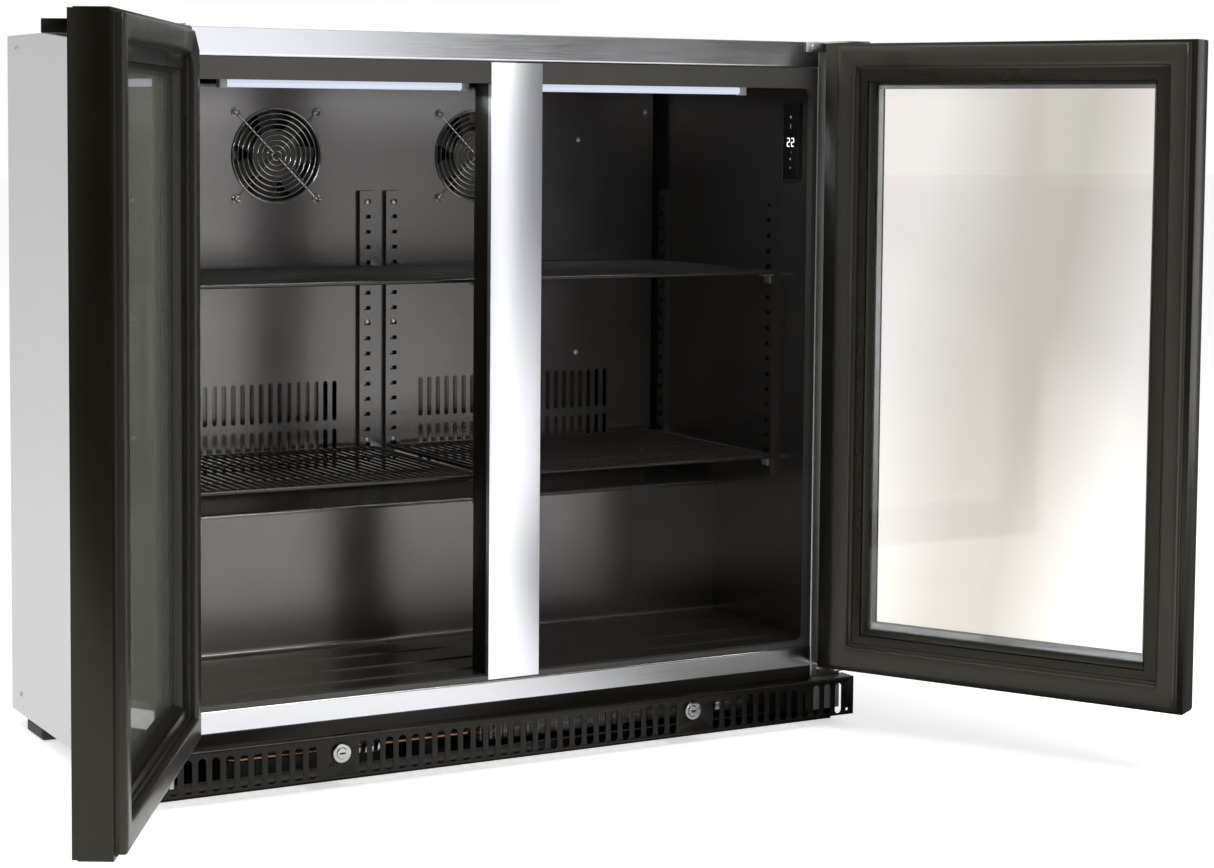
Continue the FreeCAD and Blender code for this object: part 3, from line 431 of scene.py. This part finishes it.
# %% Bright metals
def plated(name, bright, dull, rough, cloud_size=0.02):
    finish = Finish(name, Metallic=1.0)
    cloud = finish.noise(cloud_size, 4.0)
    scratch = finish.noise(0.0012, 2.0, (1, 1, 0.2))
    finish.put(Base_Color=finish.blend(cloud, bright, dull),
               Roughness=cloud * 0.12 + scratch * 0.08 + (rough - 0.08),
               Normal=finish.bump(scratch, 0.00002, 0.4))
    return finish.material


chrome = plated("chrome_plate", rgb(0.50, 0.50, 0.49), rgb(0.36, 0.36, 0.36), 0.12)
screw_steel = plated("screw_steel", rgb(0.60, 0.59, 0.57), rgb(0.42, 0.41, 0.40), 0.28, 0.004)
aluminium = plated("aluminium_mill", rgb(0.74, 0.75, 0.76), rgb(0.58, 0.59, 0.61), 0.30)
spacer_metal = plated("spacer_metal", rgb(0.50, 0.54, 0.56), rgb(0.40, 0.43, 0.45), 0.32)
guard_nickel = plated("guard_nickel", rgb(0.62, 0.61, 0.57), rgb(0.44, 0.43, 0.40), 0.20, 0.01)
copper = plated("copper_tube", rgb(0.78, 0.42, 0.26), rgb(0.42, 0.21, 0.13), 0.26, 0.03)
print("six bright metals")

# %% [markdown]
# ## Glass, lamp and display
# Each door has two panes. Real glass lets nearly all light straight through and reflects more
# at a grazing angle. A see-through shader mixed with a glossy one by the Fresnel law does both
# and casts no false shadow. The glossy one is part matt, which stands for dust. A slanting,
# slightly darker band is a painted reflection, which makes the pane visible. The lamp tube glows,
# and so do the digits on the control panel.

# %% Glass, lamp and display
DOOR_LEAN = math.radians(60.7)
# The slanting band across each pane is a painted reflection: a darker see-through stripe.
REFLECTION_BAND_SLANT, REFLECTION_BAND_WOBBLE, REFLECTION_BAND_STRENGTH = 0.17, 0.05, 0.85
REFLECTION_BAND_STOPS = ((0.27, (0, 0, 0)), (0.38, (0.8, 0.8, 0.8)), (0.45, (1, 1, 1)), (0.56, (0, 0, 0)))


def window_glass():
    """Clear glass with a painted reflection, a slanting darker band; the Principled shader is its part-matt
    mirror.
    """
    finish = Finish("window_glass", Metallic=0.86, Roughness=0.03, Base_Color=rgb(0.80, 0.82, 0.76))
    clear = finish.node("ShaderNodeBsdfTransparent", {}, {"Color": rgb(0.995, 0.984, 0.978)})
    # The darker see-through shade inside the painted reflection band.
    painted_band_shader = finish.node("ShaderNodeBsdfTransparent", {}, {"Color": rgb(0.875, 0.865, 0.840)})
    sheen = finish.node("ShaderNodeFresnel", {}, {"IOR": 1.40})
    spot = finish.node("ShaderNodeTexCoord", output="Object")
    parts = finish.node("ShaderNodeSeparateXYZ", {}, {0: spot})
    across = finish.node("ShaderNodeMath", {"operation": "ABSOLUTE"}, {0: parts})
    depth = Wire(finish, parts.socket.node.outputs["Y"])
    height = Wire(finish, parts.socket.node.outputs["Z"])
    along = across * math.cos(DOOR_LEAN) - depth * math.sin(DOOR_LEAN)
    slant = along - height * REFLECTION_BAND_SLANT + finish.noise(0.5, 1.0) * REFLECTION_BAND_WOBBLE
    # Painted reflection: where the pane turns to the darker see-through shade.
    painted_reflection_band = finish.ramp(slant, *REFLECTION_BAND_STOPS)
    mist = finish.noise(0.25, 3.0)
    pane = finish.node("ShaderNodeMixShader", {},
                       {0: painted_reflection_band * REFLECTION_BAND_STRENGTH + mist * 0.05, 1: clear, 2: painted_band_shader})
    mix = finish.node("ShaderNodeMixShader", {}, {0: sheen + mist * 0.01, 1: pane})
    finish.tree.links.new(finish.shader.outputs[0], mix.socket.node.inputs[2])
    out = finish.tree.nodes["Material Output"]
    finish.tree.links.new(mix.socket, out.inputs["Surface"])
    return finish.material


def glowing(name, colour, strength, base):
    finish = Finish(name, Emission_Strength=strength, Base_Color=base, Roughness=0.3)
    cloud = finish.noise(0.03, 2.0)
    finish.put(Emission_Color=finish.blend(cloud, colour, tuple(c * 0.94 for c in colour[:3]) + (1,)),
               Roughness=cloud * 0.2 + 0.2)
    return finish.material


glass = window_glass()
lamp_glow = glowing("lamp_glow", rgb(0.72, 0.79, 0.95), 0.85, rgb(0.20, 0.20, 0.22))
digit_glow = glowing("digit_glow", rgb(1.0, 1.0, 1.0), 1.6, rgb(0.9, 0.9, 0.9))
mark_glow = glowing("mark_glow", rgb(0.55, 0.53, 0.50), 0.35, rgb(0.3, 0.3, 0.3))
holder_clear = coated("holder_clear", rgb(0.42, 0.42, 0.44), rgb(0.52, 0.52, 0.54), 0.30)
display_gloss = coated("display_gloss", rgb(0.003, 0.003, 0.004), rgb(0.006, 0.006, 0.007), 0.10,
                       0.0018, 0.00002)
print("glass and lights ready")

# %% [markdown]
# ## Dress the frame
# Every node of the frame now gets its finish. A node keeps its mesh and its place: only the
# material in its slot changes. A short table goes from node names to finishes, and names that
# are not in it take the finish of their slot in the record.

# %% Dress the frame
BY_SLOT = {
    "brushed_stainless": steel_side, "galvanised_steel": galvanised, "charcoal_liner": charcoal,
    "foam": foam_yellow, "grey_trim": trim_grey, "black_frame": door_black, "black_post": post_black,
    "grey_gasket": gasket_grey, "clear_glass": glass, "silver_spacer": spacer_metal, "nylon": nylon,
    "black_plastic": fan_black, "guard_wire": wire_black, "shelf_wire": wire_black,
    "aluminium_fins": aluminium, "copper": copper, "lamp": lamp_glow, "clear_plastic": holder_clear,
    "display": display_gloss, "black_gloss": kick_black, "chrome": chrome, "rubber": foot_rubber,
    "compressor_black": enamel}
BY_NODE = {
    "front_bands": steel_band, "mullion_cover": lit_steel_post,
    "hinge_brackets": steel_hinge, "cabinet_screws": screw_steel, "compartment_panel": tray_plastic,
    "left_fan_rotor": hub_grey, "right_fan_rotor": hub_grey,
    "left_door_bead": bead_black, "right_door_bead": bead_black, "condensate_tray": tray_plastic}


def finish_of(name):
    return BY_NODE.get(name) or BY_SLOT[slot_of[name]]


def dress(thing, material):
    thing.data.materials.clear()
    thing.data.materials.append(material)


for name, thing in nodes.items():
    dress(thing, finish_of(name))
print("dressed", len(nodes), "nodes")

# %% [markdown]
# ## Rounded edges
# No real sheet or moulding has a perfectly sharp edge: a small round catches the light and is
# what makes a shape look solid. A piece that needs it is a copy of its node with a bevel on
# every sharp edge. The copy stands for the node, rides on the same body and keeps its outline.

# %% Rounded edges
def mesh_from(name, graph):
    """A mesh from a finished graph, with its faces turned outwards."""
    bmesh.ops.recalc_face_normals(graph, faces=graph.faces)
    mesh = bpy.data.meshes.new(name)
    graph.to_mesh(mesh)
    graph.free()
    return mesh


def settled(name, mesh, node, material, sharp=38):
    """Put a finished mesh in the scene as a piece that stands for a node of the frame."""
    piece = bpy.data.objects.new(name, mesh)
    bpy.context.collection.objects.link(piece)
    mesh.materials.clear()
    mesh.materials.append(material)
    graph = bmesh.new()
    graph.from_mesh(mesh)
    for edge in graph.edges:
        edge.smooth = len(edge.link_faces) == 2 and edge.calc_face_angle(0) < math.radians(sharp)
    for face in graph.faces:
        face.smooth = True
    graph.to_mesh(mesh)
    graph.free()
    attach(piece, body_of[node])
    return piece


def softened(node, width, segments=2, limit=30):
    """A copy of a node's mesh with its sharp edges rounded."""
    mesh = nodes[node].data.copy()
    graph = bmesh.new()
    graph.from_mesh(mesh)
    bmesh.ops.remove_doubles(graph, verts=graph.verts, dist=1e-6)
    bmesh.ops.dissolve_limit(graph, angle_limit=math.radians(1), verts=graph.verts, edges=graph.edges)
    graph.to_mesh(mesh)
    graph.free()
    work = bpy.data.objects.new("work", mesh)
    bpy.context.collection.objects.link(work)
    bevel = work.modifiers.new("round", "BEVEL")
    bevel.width, bevel.segments = width, segments
    bevel.limit_method, bevel.angle_limit = "ANGLE", math.radians(limit)
    bevel.use_clamp_overlap = True
    bpy.context.view_layer.update()
    rounded = bpy.data.meshes.new_from_object(work.evaluated_get(bpy.context.evaluated_depsgraph_get()))
    bpy.data.objects.remove(work)
    piece = settled(node + "_rounded", rounded, node, finish_of(node))
    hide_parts(node)
    return piece


ROUNDING = {
    "left_door_frame": 0.0010, "right_door_frame": 0.0010, "left_door_handle": 0.0014,
    "right_door_handle": 0.0014, "mullion_cover": 0.0009, "centre_post": 0.0010,
    "controller_housing": 0.0006, "hinge_brackets": 0.0005, "kick_plate": 0.00025,
    "lock_housings": 0.0006, "left_lock_plug": 0.0003, "right_lock_plug": 0.0003,
    "fan_frames": 0.0006, "light_holders": 0.0008, "electrical_box": 0.0010,
    "condensate_tray": 0.0006, "top_panel": 0.0004, "back_panel": 0.0003}
for node, width in ROUNDING.items():
    piece = softened(node, width)
    print(piece.name, len(piece.data.polygons), "faces")

# %% [markdown]
# ## Door places
# The doors of the frame stand open. It is easier to draw a door piece on a shut right-hand door
# and then move it. `door_place` gives that move: a turn about the hinge, after a mirror for the
# left door. `shut_box` goes the other way and reads the size of a door node as if it were shut.

# %% Door places
DOOR_OPEN = math.radians(119.3)
SIDES = {"left": -1, "right": 1}
hinges = {joint["name"]: joint for joint in frame["joints"]}


def door_place(side):
    pivot = Vector(hinges[side + "_door_hinge"]["pos_m"])
    way = SIDES[side]
    turn = Matrix.Translation(pivot) @ Matrix.Rotation(DOOR_OPEN * way, 4, "Z") @ Matrix.Translation(-pivot)
    return turn @ Matrix.Diagonal((way, 1, 1, 1))


def shut_box(side, piece):
    back = door_place(side).inverted()
    spots = [back @ vertex.co for vertex in nodes[f"{side}_door_{piece}"].data.vertices]
    low = Vector(min(spot[i] for spot in spots) for i in range(3))
    high = Vector(max(spot[i] for spot in spots) for i in range(3))
    return low, high


shut_low, shut_high = shut_box("right", "frame")
print("a shut door is", round((shut_high - shut_low).x, 3), "m wide")

# %% [markdown]
# ## Door seals and beads
# A fridge door seals with a soft hollow profile that holds a magnet strip. It is extruded, cut
# at 45 degrees and welded at the corners, so the best way to draw it is the real one: a section
# carried round a rectangle. The section has a foot, a thin bellows, the flat magnet face and a
# groove beside it. The seal's sides have different widths, so a point of the section is given
# as a share of the way from the outer edge to the inner one. A tiny wave along each side keeps
# the seal from looking machined, and beside the upper hinge it is pressed flatter.

# %% Door seals and beads
SEAL_SECTION = [
    (0.00, 0.0000), (0.00, 0.0022), (0.05, 0.0030), (0.04, 0.0052), (0.045, 0.0084), (0.07, 0.0102),
    (0.13, 0.0111), (0.24, 0.0114), (0.50, 0.0115), (0.76, 0.0113), (0.86, 0.0107), (0.91, 0.0094),
    (0.925, 0.0072), (0.91, 0.0048), (0.90, 0.0032), (0.95, 0.0026), (1.00, 0.0018), (1.00, 0.0000)]
SEAL_WIDTHS = (0.0235, 0.0260, 0.0310, 0.0270)
BEAD_SECTION = [
    (0.00, 0.0000), (0.00, 0.0078), (0.10, 0.0088), (0.22, 0.0089), (0.36, 0.0080), (0.80, 0.0030),
    (0.92, 0.0014), (1.00, 0.0008), (1.00, 0.0000)]
BEAD_WIDTHS = (0.0060, 0.0060, 0.0060, 0.0045)
WAVE_STEP = 0.025
PRESSED, PRESSED_REACH, PRESSED_FADE = 0.38, 0.085, 0.03


def section_ring(name, low, high, widths, section, base, place, wave=0.0):
    """Carry a section round an upright rectangle. The widths are those of the free side, the hinge
    side, the foot and the top. The sides run from the foot round to the hinge, the top and back."""
    free, hinge, foot, top = widths
    outer = [(low.x, low.z), (high.x, low.z), (high.x, high.z), (low.x, high.z)]
    inner = [(low.x + free, low.z + foot), (high.x - hinge, low.z + foot),
             (high.x - hinge, high.z - top), (low.x + free, high.z - top)]
    graph = bmesh.new()
    loops = []
    for i in range(4):
        ends = [Vector((*outer[j % 4], *inner[j % 4])) for j in (i, i + 1)]
        steps = max(1, int((ends[1] - ends[0]).length / WAVE_STEP)) if wave else 1
        for k in range(steps):
            ox, oz, ix, iz = ends[0].lerp(ends[1], k / steps)
            lift = wave * math.sin(2.1 * k + 1.7 * i) * math.sin(math.pi * k / steps)
            if wave and i == 2:
                from_hinge = k / steps * (high.x - low.x)
                lift += PRESSED * min(1, max(0, (PRESSED_REACH - from_hinge) / PRESSED_FADE))
            spots = [(ox + (ix - ox) * t, base + h * (1 - lift), oz + (iz - oz) * t) for t, h in section]
            loops.append([graph.verts.new(place @ Vector(spot)) for spot in spots])
    for a, b in zip(loops, loops[1:] + loops[:1]):
        for i in range(len(section)):
            j = (i + 1) % len(section)
            graph.faces.new((a[i], a[j], b[j], b[i]))
    return mesh_from(name, graph)


for side in SIDES:
    for part, widths, section, wave in (("gasket", SEAL_WIDTHS, SEAL_SECTION, 0.018),
                                        ("bead", BEAD_WIDTHS, BEAD_SECTION, 0.0)):
        node = f"{side}_door_{part}"
        low, high = shut_box(side, part)
        mesh = section_ring(node + "_profile", low, high, widths, section, low.y, door_place(side), wave)
        piece = settled(node + "_profile", mesh, node, finish_of(node), sharp=50)
        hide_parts(node)
        print(piece.name, len(mesh.polygons), "faces")

# %% [markdown]
# ## Fan guards
# Each fan has a guard of welded wire: nine rings on four diagonal arms that end in an eye for
# the screw. Wire is a round tube along a line, so one helper carries a small circle along a list
# of points. The points of a ring or an eye come from a circle.

# %% Fan guards
RINGS, FIRST_RING, RING_PITCH = 9, 0.0058, 0.0065
RING_WIRE, ARM_WIRE = 0.00085, 0.0011
EYE_INSET, EYE_RADIUS, ARM_GAP, ARM_REST = 0.0058, 0.0046, 0.0045, 0.004


def tube(graph, points, radius, closed=False, corners=8):
    """Carry a circle along points and add the tube to a mesh."""
    count = len(points)
    loops = []
    for i, point in enumerate(points):
        before = points[i - 1] if i or closed else point
        after = points[(i + 1) % count] if i < count - 1 or closed else point
        turn = (after - before).to_track_quat("Z", "Y")
        loops.append([graph.verts.new(point + turn @ Vector((radius * math.cos(a), radius * math.sin(a), 0)))
                      for a in (2 * math.pi * k / corners for k in range(corners))])
    pairs = list(zip(loops, loops[1:])) + ([(loops[-1], loops[0])] if closed else [])
    for a, b in pairs:
        for k in range(corners):
            graph.faces.new((a[k], a[(k + 1) % corners], b[(k + 1) % corners], b[k]))
    if not closed:
        graph.faces.new(loops[0][::-1])
        graph.faces.new(loops[-1])


def circle(centre, radius, right, up, steps, start=0.0, sweep=2 * math.pi):
    """Points on a circle or an arc; a whole circle leaves out its last point."""
    whole = abs(sweep - 2 * math.pi) < 1e-9
    last = steps if whole else steps - 1
    return [centre + right * (radius * math.cos(start + sweep * k / last))
            + up * (radius * math.sin(start + sweep * k / last)) for k in range(steps)]


ACROSS, BACK, UP = Vector((1, 0, 0)), Vector((0, 1, 0)), Vector((0, 0, 1))


def fan_guards():
    low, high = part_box("fan_guards")
    fan_height = (low.z + high.z) / 2
    reach = (high.z - low.z) / 2 - EYE_INSET
    fan_side = (high.x - low.x) / 2 - (high.z - low.z) / 2
    front = low.y + 0.0012
    graph = bmesh.new()
    for way in SIDES.values():
        centre = Vector((way * fan_side, front, fan_height))
        for i in range(RINGS):
            ring = circle(centre, FIRST_RING + RING_PITCH * i, ACROSS, UP, 56)
            tube(graph, ring, RING_WIRE, closed=True)
        for dx in (-1, 1):
            for dz in (-1, 1):
                eye = centre + Vector((dx * reach, ARM_WIRE, dz * reach))
                hub = centre + BACK * ARM_WIRE
                inward = (hub - eye).normalized()
                tube(graph, [eye + inward * ARM_GAP, hub - inward * ARM_REST], ARM_WIRE)
                tube(graph, circle(eye, EYE_RADIUS, ACROSS, UP, 20), ARM_WIRE, closed=True)
    piece = settled("fan_guard_wires", mesh_from("fan_guard_wires", graph), "fan_guards", guard_nickel)
    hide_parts("fan_guards")
    return piece


print("guards", len(fan_guards().data.polygons), "faces")

# %% [markdown]
# ## Screws with a cross
# The frame marks each screw with a plain round head. A real pan head is a dome with a cross
# pressed into it. One screw is made and copied: a curve turned round an axis gives the dome,
# and a boolean takes out the cross. Where each copy goes, and which way it points, is read from
# the frame's own screws: the head is the wide end of each loose solid.

# %% Screws with a cross
HEAD_PROFILE = [
    (1.0, -0.02), (1.0, 0.12), (0.96, 0.22), (0.86, 0.34), (0.66, 0.43), (0.40, 0.48), (0.0, 0.50)]
CROSS_ARMS, CROSS_MIDDLE, CROSS_HALF_DEPTH = ((0.17, 0.62), (0.62, 0.17)), 0.52, 0.30
END_BAND, RIM_BAND = 0.0003, 0.0001


def cross_head():
    """A pan head of radius 1 that stands on Z = 0 and rises to 0.5, with a cross pressed in."""
    graph = bmesh.new()
    line = [graph.verts.new((r, 0, h)) for r, h in HEAD_PROFILE]
    edges = [graph.edges.new(pair) for pair in zip(line, line[1:])]
    bmesh.ops.spin(graph, geom=line + edges, axis=(0, 0, 1), cent=(0, 0, 0), steps=32, angle=2 * math.pi)
    bmesh.ops.remove_doubles(graph, verts=graph.verts, dist=1e-5)
    rim = [edge for edge in graph.edges if edge.is_boundary]
    bmesh.ops.contextual_create(graph, geom=rim)
    head = bpy.data.objects.new("head", mesh_from("head", graph))
    cutter_graph = bmesh.new()
    for width, length in CROSS_ARMS:
        block = bmesh.ops.create_cube(cutter_graph, size=2.0)
        size = Matrix.Diagonal((width, length, CROSS_HALF_DEPTH, 1))
        place = Matrix.Translation((0, 0, CROSS_MIDDLE)) @ size
        bmesh.ops.transform(cutter_graph, matrix=place, verts=block["verts"])
    cutter = bpy.data.objects.new("cutter", mesh_from("cutter", cutter_graph))
    for thing in (head, cutter):
        bpy.context.collection.objects.link(thing)
    cut = head.modifiers.new("cross", "BOOLEAN")
    cut.object, cut.operation, cut.solver, cut.use_self = cutter, "DIFFERENCE", "EXACT", True
    bpy.context.view_layer.update()
    mesh = bpy.data.meshes.new_from_object(head.evaluated_get(bpy.context.evaluated_depsgraph_get()))
    for thing in (head, cutter):
        bpy.data.objects.remove(thing)
    return mesh


def loose_solids(node):
    """The vertices of each loose solid of a node, always in the same order."""
    graph = bmesh.new()
    graph.from_mesh(nodes[node].data)
    bmesh.ops.remove_doubles(graph, verts=graph.verts, dist=1e-6)
    left, solids = set(graph.verts), []
    for first in graph.verts:
        if first not in left:
            continue
        left.discard(first)
        todo, solid = [first], []
        while todo:
            vertex = todo.pop()
            solid.append(vertex.co.copy())
            for edge in vertex.link_edges:
                other = edge.other_vert(vertex)
                if other in left:
                    left.discard(other)
                    todo.append(other)
        solids.append(solid)
    graph.free()
    return solids


def head_of(solid):
    """The middle of a screw's bearing face, its outward direction, head radius and head height."""
    best = None
    for axis in (0, 1):
        places = [point[axis] for point in solid]
        low, high = min(places), max(places)
        middle = sum(solid, Vector()) / len(solid)
        for way, end in ((-1, low), (1, high)):
            near = [p for p in solid if abs(p[axis] - end) < END_BAND]
            far = [p for p in solid if abs(p[axis] - (low + high - end)) < END_BAND]
            spread = [max((Vector(q[i] for i in range(3) if i != axis)
                           - Vector(middle[i] for i in range(3) if i != axis)).length for q in group)
                      for group in (near, far)]
            if best is None or spread[0] - spread[1] > best[0]:
                best = (spread[0] - spread[1], axis, way, end)
    _, axis, way, end = best
    radius = (max(p.z for p in solid) - min(p.z for p in solid)) / 2
    wide = [p[axis] for p in solid if abs(p.z - max(q.z for q in solid)) < RIM_BAND]
    base = min(wide) if way > 0 else max(wide)
    centre = Vector(((min(p.x for p in solid) + max(p.x for p in solid)) / 2,
                     (min(p.y for p in solid) + max(p.y for p in solid)) / 2,
                     (min(p.z for p in solid) + max(p.z for p in solid)) / 2))
    centre[axis] = base
    outward = Vector((0, 0, 0))
    outward[axis] = way
    return centre, outward, radius, abs(end - base)


def screws():
    """One cross head on every screw of the frame, each turned by its own angle."""
    template = cross_head()
    graph = bmesh.new()
    solids = loose_solids("cabinet_screws")
    for i, solid in enumerate(solids):
        centre, outward, radius, height = head_of(solid)
        before = len(graph.verts)
        graph.from_mesh(template)
        graph.verts.ensure_lookup_table()
        turn = outward.to_track_quat("Z", "Y").to_matrix().to_4x4() @ Matrix.Rotation(1.3 * i, 4, "Z")
        place = Matrix.Translation(centre) @ turn @ Matrix.Diagonal((radius, radius, height * 2, 1))
        bmesh.ops.transform(graph, matrix=place, verts=graph.verts[before:])
    mesh = mesh_from("cross_head_screws", graph)
    piece = settled("cross_head_screws", mesh, "cabinet_screws", screw_steel, 30)
    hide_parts("cabinet_screws")
    return len(solids)


print(screws(), "screws")

# %% [markdown]
# ## Finned coils
# Heat leaves through thin aluminium fins on a copper tube that runs to and fro. The frame holds
# each coil as one block. Here it becomes what it is: a loop makes the fins, each a little bent
# by its own amount, and the tube is straight runs with a half ring at each end. Only glimpses
# of it show through the slots, and those glimpses are what make the slots look real.

# %% Finned coils
FIN_THICKNESS, FIN_LEAN, LEAN_TURN = 0.00025, 0.0004, 12
BACK_FIN_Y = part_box("evaporator_cover")[0].y + 0.004
coil_low, coil_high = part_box("condenser_coil")
COIL_BLOCKS = {
    "condenser_coil": ((coil_low.y, 0.020), (coil_high.y, 0.056)),
    "evaporator_coil": ((BACK_FIN_Y, 0.432), (BACK_FIN_Y + 0.0282, 0.604))}


def finned_coil(node, bend_reach, pitch, rows, bend_axis, bend_radius, tube_radius):
    """rows are the middles of the hairpins, as pairs of Y and Z, and so are the corners of a block."""
    low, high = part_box(node)
    start, stop = low.x + bend_reach, high.x - bend_reach
    fin_low, fin_high = COIL_BLOCKS[node]
    size = (FIN_THICKNESS, fin_high[0] - fin_low[0], fin_high[1] - fin_low[1])
    graph = bmesh.new()
    for i in range(int((stop - start) / pitch)):
        x = start + (i + 0.5) * pitch
        lean = FIN_LEAN * math.sin(2.3 * i) * math.sin(0.37 * i)
        block = bmesh.ops.create_cube(graph, size=1.0)
        middle = (x + lean, (fin_low[0] + fin_high[0]) / 2, (fin_low[1] + fin_high[1]) / 2)
        turn = Matrix.Rotation(lean * LEAN_TURN, 4, "Z")
        place = Matrix.Translation(middle) @ turn @ Matrix.Diagonal((*size, 1))
        bmesh.ops.transform(graph, matrix=place, verts=block["verts"])
    fins = settled(node + "_fins", mesh_from(node + "_fins", graph), node, aluminium, 30)
    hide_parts(node)
    pipes = bmesh.new()
    for y, z in rows:
        middle = Vector((0, y, z))
        for way in (-1, 1):
            run = middle + bend_axis * (way * bend_radius)
            tube(pipes, [Vector((start, run.y, run.z)), Vector((stop, run.y, run.z))], tube_radius)
        for x, way in ((start, -1), (stop, 1)):
            bend = circle(Vector((x, y, z)), bend_radius, bend_axis, ACROSS * way, 13, 0.0, math.pi)
            tube(pipes, bend, tube_radius)
    runs = settled(node + "_tubes", mesh_from(node + "_tubes", pipes), node, copper, 40)
    return len(fins.data.polygons) + len(runs.data.polygons)


condenser_rows = [(coil_low.y + 0.012 + 0.025 * i, z) for i in range(4) for z in (0.029, 0.047)]
evaporator_rows = [(BACK_FIN_Y + 0.0141, 0.454 + 0.043 * i) for i in range(4)]
print(finned_coil("condenser_coil", 0.0115, 0.003, condenser_rows, BACK, 0.008, 0.0034), "faces")
print(finned_coil("evaporator_coil", 0.014, 0.004, evaporator_rows, UP, 0.010, 0.0038), "faces")

# %% [markdown]
# ## Control panel
# The panel is a strip of black gloss with a two-digit temperature and touch marks. The digits
# are seven-segment ones: a digit is a set of small bars, so each is listed by the letters that
# light up. Bars and marks are real thin shapes a hair in front of the window. The strip is on
# the right wall and is read from the left, so its reading direction is towards the front.

# %% Control panel
BARS = {"a": (0, 1, 1, 0), "b": (1, 0.5, 0, 1), "c": (1, -0.5, 0, 1), "d": (0, -1, 1, 0),
        "e": (-1, -0.5, 0, 1), "f": (-1, 0.5, 0, 1), "g": (0, 0, 1, 0)}
DIGITS = {"2": "abged"}
DIGIT_HALF_WIDTH, DIGIT_HALF_HEIGHT, BAR_HALF = 0.0026, 0.0048, 0.00055
DIGIT_SPOTS, BAR_SHARE, GLOW_THICKNESS = (-0.0046, 0.0046), 0.94, 0.00015
window_low, window_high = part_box("controller_display")
GLOW_X = window_low.x - 0.0002
panel_middle = (window_low + window_high) / 2


def flat_shape(graph, points):
    """A thin upright plate on the window; points are (along the reading direction, up)."""
    front = [graph.verts.new((GLOW_X, panel_middle.y - a, panel_middle.z + b)) for a, b in points]
    back = [graph.verts.new((GLOW_X + GLOW_THICKNESS, panel_middle.y - a, panel_middle.z + b))
            for a, b in points]
    graph.faces.new(front)
    graph.faces.new(back[::-1])
    for i in range(len(points)):
        j = (i + 1) % len(points)
        graph.faces.new((front[i], front[j], back[j], back[i]))


def bar(graph, a, b, half_length, upright):
    """A bar with pointed ends."""
    w = BAR_HALF
    points = [(-half_length, 0), (-half_length + w, -w), (half_length - w, -w),
              (half_length, 0), (half_length - w, w), (-half_length + w, w)]
    flat_shape(graph, [(a + q, b + p) if upright else (a + p, b + q) for p, q in points])


def digit(graph, middle, letter):
    """The lit bars of one digit."""
    for key in DIGITS[letter]:
        across, up, flat, upright = BARS[key]
        half = DIGIT_HALF_WIDTH if flat else DIGIT_HALF_HEIGHT / 2
        bar(graph, middle + across * DIGIT_HALF_WIDTH, up * DIGIT_HALF_HEIGHT, half * BAR_SHARE,
            bool(upright))


def disc(graph, a, b, radius, corners=14):
    flat_shape(graph, [(a + radius * math.cos(2 * math.pi * k / corners),
                        b + radius * math.sin(2 * math.pi * k / corners)) for k in range(corners)])


digits_graph = bmesh.new()
for middle in DIGIT_SPOTS:
    digit(digits_graph, middle, "2")
digits = settled("temperature_digits", mesh_from("temperature_digits", digits_graph),
                 "controller_display", digit_glow)
marks_graph = bmesh.new()
disc(marks_graph, 0.0, 0.0305, 0.0016)
bar(marks_graph, 0.0, 0.0195, 0.0030, True)
disc(marks_graph, 0.002, -0.0120, 0.0007)
flat_shape(marks_graph, [(-0.0015, -0.0215), (0.0015, -0.0215), (0.0, -0.0190)])
flat_shape(marks_graph, [(-0.0015, -0.0300), (0.0, -0.0325), (0.0015, -0.0300)])
marks = settled("touch_marks", mesh_from("touch_marks", marks_graph), "controller_display", mark_glow)
print("digits", len(digits.data.polygons), "faces, marks", len(marks.data.polygons), "faces")
